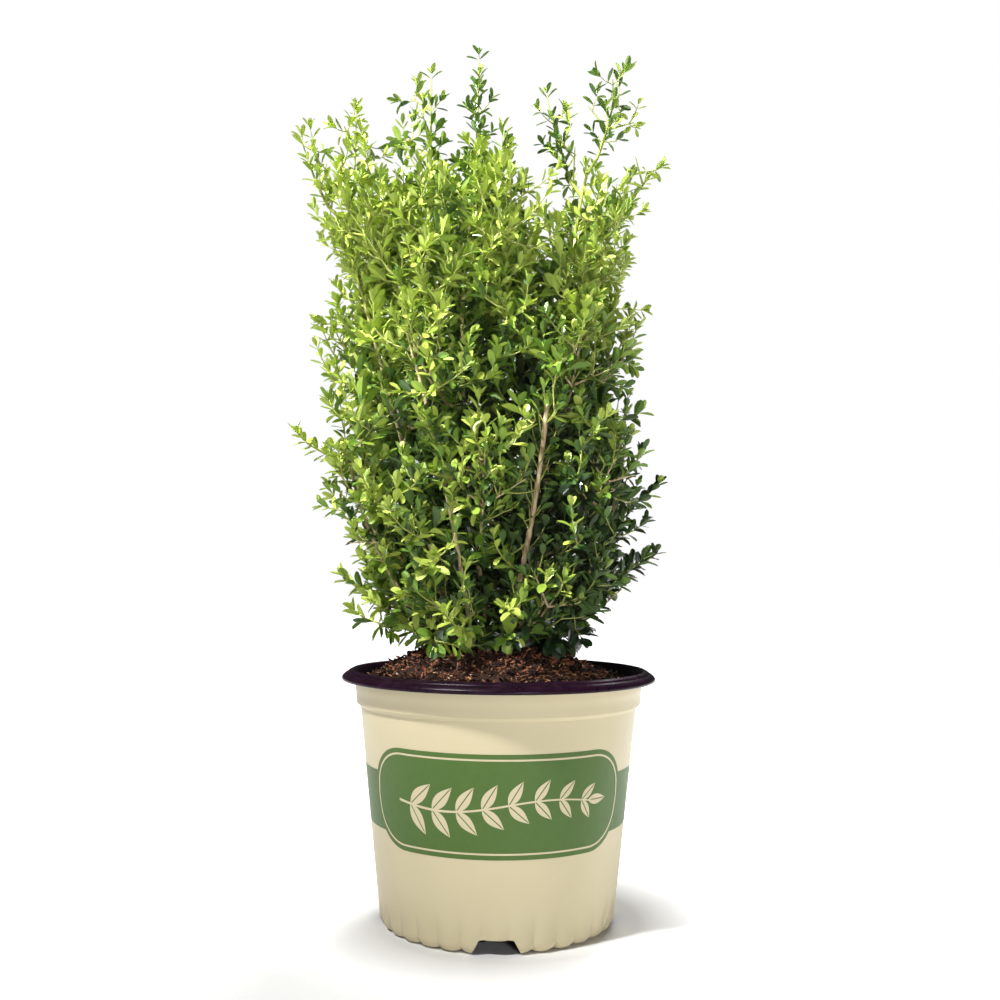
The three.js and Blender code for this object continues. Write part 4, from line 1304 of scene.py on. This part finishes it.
woody_lines = []
for growth in growths:
    mass = growth.mass
    reach = np.linalg.norm(np.diff(mass.chain, axis=0), axis=1).sum()
    woody_lines.append(([mass.line(t) for t in WOODY_KNOTS], np.interp(WOODY_KNOTS, [0, 1], BOUGH_WIDTHS)))
    is_leader = mass.habit is SLIM
    spurs = SPURS["leader" if is_leader else "bough"]
    for root, heading, length in growth.sprays[2 if is_leader else 0:]:
        value = youth_and_painted_light(root + heading * length) + fine.normal(0, 0.13)
        add_sprig(root, heading, length * 0.8, value, lift=0.3, always=True)
    for base, end in growth.twigs:
        line = [base * (1 - t) + end * t for t in WOODY_KNOTS]
        woody_lines.append((line, np.interp(WOODY_KNOTS, [0, 1], TWIG_WIDTHS)))
        twig = stepped(lambda t, a=base, b=end: a + (b - a) * t, 1)
        twig_length = math.sqrt((end - base) @ (end - base))
        clothe(twig, twig_length, SPURS["twig"])
        add_sprig(end, unit(end - base), 15, youth_and_painted_light(end) + fine.normal(0, 0.1))
    clothe(mass.line, reach, spurs)
    end, heading = mass.line(1), heading_at(mass.line, 1)
    add_sprig(end, heading, spurs["tip"], youth_and_painted_light(mass.tip) + 0.1, always=True)
    if is_leader:
        grow_shoot(mass.line(0.3), mass.line(0.6), mass.line(0.9), youth_and_painted_light(mass.tip))

for stem in stems:
    length = np.linalg.norm(np.diff(stem.chain, axis=0), axis=1).sum()
    clothe(stem.line, length, SPURS["stem"])


def reach_for(place, value, far=HOLES["far"], leafy=42, grown=1.0):
    """A shoot that rises to a place from the nearest twig, bare at first where it is long."""
    known = np.array(holds)
    away = place - known
    distance = np.linalg.norm(away, axis=1)
    cost = distance + 1.5 * np.maximum(0, 0.45 * distance - away[:, 2])
    cost[distance < HOLES["near"]] = np.inf
    if cost.min() > far:
        return
    root = known[cost.argmin()]
    run = place - root
    elbow = root + run * SHOOT_ELBOW
    bare = max(0.0, 1 - leafy / math.sqrt(run @ run))
    grow_shoot(root, elbow, place, value, bare, grown)
    holds.append(root * 0.3 + elbow * 0.5 + place * 0.2)
    holds.append(root * 0.1 + elbow * 0.4 + place * 0.5)


def fill_holes():
    """Sends a shoot into each part of the crown that has too few leaves, from below upwards."""
    grid = HOLES["grid"]
    wide = HOLES["wide"] // grid * grid
    for z in np.arange(*HOLES["z"], grid):
        for x in np.arange(-wide, wide + 1, grid):
            for y in np.arange(-wide, wide + 1, grid):
                place = np.array([x, y, z]) + fine.uniform(-HOLES["jitter"], HOLES["jitter"], 3)
                out = outness(place)[0]
                if out > min(HOLES["inside"], ragged(place)) or pocket(place):
                    continue
                if not open_below(place[0]) < place[2] < open_above(place[0]):
                    continue
                least = np.interp(z, CROWD_Z, CROWD_LEAST) * (1 if out > CROWD_INSIDE else 0.6)
                if crowd.get(cell_of(place), 0) < least:
                    reach_for(place, youth_and_painted_light(place) + fine.normal(0, 0.13))


def seen_through(from_side):
    """The places in the crown's heart where a look from the front, or from a side, meets no leaf."""
    size = THIN["cell"]
    root, heading, face, length, width = (
        np.array([row[i] for rows in leaf_rows.values() for row in rows]) for i in range(5)
    )
    aside = np.cross(face, heading)
    low_z, high_z = THIN["z"]
    covered = np.zeros((int(2 * THIN["wide"] / size) + 1, int((high_z - low_z) / size) + 1), dtype=bool)
    for along in np.linspace(0.06, 0.98, 27):
        half = 0.42 * min(1, along * 1.8, 1.9 - along * 1.4)
        for across in np.linspace(-half, half, 11):
            marks = root + heading * (along * length)[:, None] + aside * (across * width)[:, None]
            if from_side:
                flat = marks[:, 1:]
            else:
                ratio = (CAMERA_PLACE[1] / (CAMERA_PLACE[1] - marks[:, 1]))[:, None]
                flat = CAMERA_PLACE[::2] + (marks[:, ::2] - CAMERA_PLACE[::2]) * ratio
            cell = ((flat + [THIN["wide"], -low_z]) // size).astype(int)
            inside = ((cell >= 0) & (cell < covered.shape)).all(axis=1)
            covered[tuple(cell[inside].T)] = True
    gap = ~(covered[1:, 1:] | covered[:-1, 1:] | covered[1:, :-1] | covered[:-1, :-1])
    found = []
    for i, j in np.argwhere(gap):
        across, z = (i + 1) * size - THIN["wide"], (j + 1) * size + low_z
        place = np.array([0, across, z]) if from_side else np.array([across, 0, z])
        if outness(place)[0] < THIN["out"] and z < open_above(place[0]) - THIN["below"]:
            found.append(place)
    return found


def thicken(from_side):
    """Sends a shoot of older, larger leaves across each such place, somewhere in the crown's heart."""
    done = []
    for place in seen_through(from_side):
        if done and (np.abs(np.array(done) - place).max(axis=1) < THIN["apart"]).any():
            continue
        done.append(place)
        depth = fine.uniform(*THIN_DEPTH["share"]) * THIN_DEPTH["of"]
        if from_side:
            place = place + [depth, 0, 0]
        else:
            spread = 1 - depth / CAMERA_PLACE[1]
            z = CAMERA_PLACE[2] + (place[2] - CAMERA_PLACE[2]) * spread
            place = np.array([place[0] * spread, depth, z])
        value = youth_and_painted_light(place) + OLDER["tint"] + fine.normal(0, 0.1)
        reach_for(place - UP * THIN["under"], value, OLDER["far"], OLDER["leafy"], OLDER["grown"])


fill_holes()
for *place, brighter in OUTER_SHOOTS:
    place = np.array(place, dtype=float)
    reach_for(place, youth_and_painted_light(place) + brighter, **OUTER_REACH)
for from_side in (False, True, False, False):
    thicken(from_side)


# Leaves are leathery ovals, widest past the middle, folded a little along the midrib. The upper
# side is waxy and the back is paler and dull, so the two are separate skins that meet at the edge.
LEAF_STATIONS = [0.0, 0.26, 0.55, 0.84, 1.0]
LEAF_HALVES = [0.0, 0.6, 1.0, 0.84, 0.28]
LEAF_THICK = 0.35
MOST_LEAVES = 7000
LEAF_COLOURS = {
    "lime": (0.47, 0.56, 0.1),
    "fresh": (0.29, 0.415, 0.052),
    "mid": (0.135, 0.25, 0.023),
    "deep": (0.047, 0.116, 0.017),
    "dark": (0.014, 0.04, 0.01),
}
LEAF_BACK = {"share": 0.66, "pale": (0.05, 0.075, 0.022), "shine": 0.3}
LEAF_ROUGH = {"upper": 0.3, "under": 0.5}
LEAF_GLOW = {"lime": 0.28, "fresh": 0.25, "mid": 0.2, "deep": 0.12, "dark": 0.08}
LEAF_SHINE = {"lime": 0.45, "fresh": 0.5, "mid": 0.6, "deep": 0.8, "dark": 0.9}


def leaf_template():
    """One leaf's corners as (along, across, which skin), and its triangles."""
    corners, faces = [], []
    last = len(LEAF_STATIONS) - 1
    for skin in (0, 1):
        for side in (1, -1):
            start = len(corners)
            corners += [(u, 0.0, skin) for u in LEAF_STATIONS]
            corners += [(u, side * half, skin) for u, half in zip(LEAF_STATIONS[1:], LEAF_HALVES[1:])]
            edge = start + last
            strip = [(start, start + 1, edge + 1)]
            for i in range(1, last):
                strip += [(start + i, start + i + 1, edge + i), (start + i + 1, edge + i + 1, edge + i)]
            faces += [face if (side > 0) == (skin == 0) else face[::-1] for face in strip]
    return np.array(corners), np.array(faces)


def leaf_piece(name, rows):
    corners, faces = leaf_template()
    root, heading, face = (np.array([row[i] for row in rows])[:, None, :] for i in range(3))
    length, width, fold, curl = (np.array([row[i] for row in rows])[:, None] for i in range(3, 7))
    side = np.cross(face, heading)
    u, v, back = corners[:, 0][None], corners[:, 1][None], corners[:, 2][None]
    rise = fold * np.abs(v) * width / 2 - curl * length * u * u
    thick = LEAF_THICK * back * (v == 0) * np.sin(math.pi * np.clip(u, 0.02, 0.98))
    points = (
        root
        + heading * (u * length * (1 - 0.25 * curl * u))[..., None]
        + side * (v * width / 2)[..., None]
        + face * (rise - thick)[..., None]
    )
    count = len(rows)
    all_faces = faces[None] + (np.arange(count) * len(corners))[:, None, None]
    made = piece_of(name, points.reshape(-1, 3), all_faces.reshape(-1, 3))
    skins = np.tile(np.repeat([0, 1], len(faces) // 2), count)
    made.data.polygons.foreach_set("material_index", skins.astype(np.int32))
    return made


def leaf_finish(name, colour, roughness, shine, glow):
    """A leaf's skin: waxy or dull, a little uneven, and lit through from behind."""
    made = Finish(name, specular_ior_level=shine, coat_weight=shine * 0.4, coat_roughness=0.28)
    uneven = made.grain(14, 2)
    low, high = (tuple(k * share for k in colour) for share in (0.8, 1.2))
    made.set(base_color=made.tint(uneven, low, high), roughness=made.grain(4, 2) * 0.2 + roughness)
    made.bump(made.grain(2.2, 2), 0.12)
    through = made.node("ShaderNodeBsdfTranslucent", {}, Color=tuple(min(1, k * 1.6) for k in colour))
    surface = Wire(made.tree, made.shader.outputs[0])
    blend = made.node("ShaderNodeMixShader", {}, _0=glow, _1=surface, _2=through)
    join(made.tree, made.tree.nodes["Material Output"].inputs[0], blend)
    return made.material


mass_names = [mass.name for mass in masses]
for tint in TINTS:
    colour = LEAF_COLOURS[tint]
    pale = tuple(LEAF_BACK["share"] * k + more for k, more in zip(colour, LEAF_BACK["pale"]))
    glow = LEAF_GLOW[tint]
    upper = leaf_finish("leaf_" + tint, colour, LEAF_ROUGH["upper"], LEAF_SHINE[tint], glow)
    under = leaf_finish("leaf_back_" + tint, pale, LEAF_ROUGH["under"], LEAF_BACK["shine"], glow)
    rows = leaf_rows[tint]
    parts = -(-len(rows) // MOST_LEAVES)
    for part in range(parts):
        foliage = leaf_piece(f"leaves_{tint}_{part + 1}", rows[part::parts])
        foliage.data.materials.append(upper)
        foliage.data.materials.append(under)
        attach(foliage, "root")
        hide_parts(*mass_names)


# The twigs that carry them: woody ones with young tan bark for the main and side twigs, and green
# ones, thin and slightly square, for the shoots.
def twig_piece(name, paths, widths, sides):
    """Tapering tubes along paths that all have the same number of points."""
    paths, widths = np.array(paths), np.array(widths)
    count, knots = paths.shape[:2]
    heading = np.gradient(paths, axis=1)
    heading /= np.linalg.norm(heading, axis=2, keepdims=True)
    flat = np.cross(heading, np.array([0.31, 0.2, 0.93]))
    flat /= np.linalg.norm(flat, axis=2, keepdims=True)
    other = np.cross(heading, flat)
    turn = (np.arange(sides) * 2 * math.pi / sides)[None, None, :, None]
    ring = flat[:, :, None] * np.cos(turn) + other[:, :, None] * np.sin(turn)
    points = paths[:, :, None] + ring * widths[:, :, None, None]
    base = (np.arange(count) * knots * sides)[:, None]
    cell = []
    for i in range(knots - 1):
        for k in range(sides):
            ahead = (k + 1) % sides
            cell.append((i * sides + k, i * sides + ahead, (i + 1) * sides + ahead, (i + 1) * sides + k))
    faces = (np.array(cell)[None] + base[:, :, None]).reshape(-1, 4)
    return piece_of(name, points.reshape(-1, 3), faces)


green_wood = Finish("green_wood", roughness=0.5, specular_ior_level=0.4)
green_wood.set(base_color=green_wood.tint(green_wood.grain(9, 2), (0.2, 0.25, 0.045), (0.42, 0.43, 0.11)))
woody_twigs = twig_piece("woody_twigs", *zip(*woody_lines), 6)
woody_twigs.data.materials.append(corky_bark.material)
green_twigs = twig_piece("green_twigs", green_paths, green_widths, 4)
green_twigs.data.materials.append(green_wood.material)
for twigs, slot in ((woody_twigs, "bark"), (green_twigs, "leaf_young")):
    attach(twigs, "root")
    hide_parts(*mass_names)
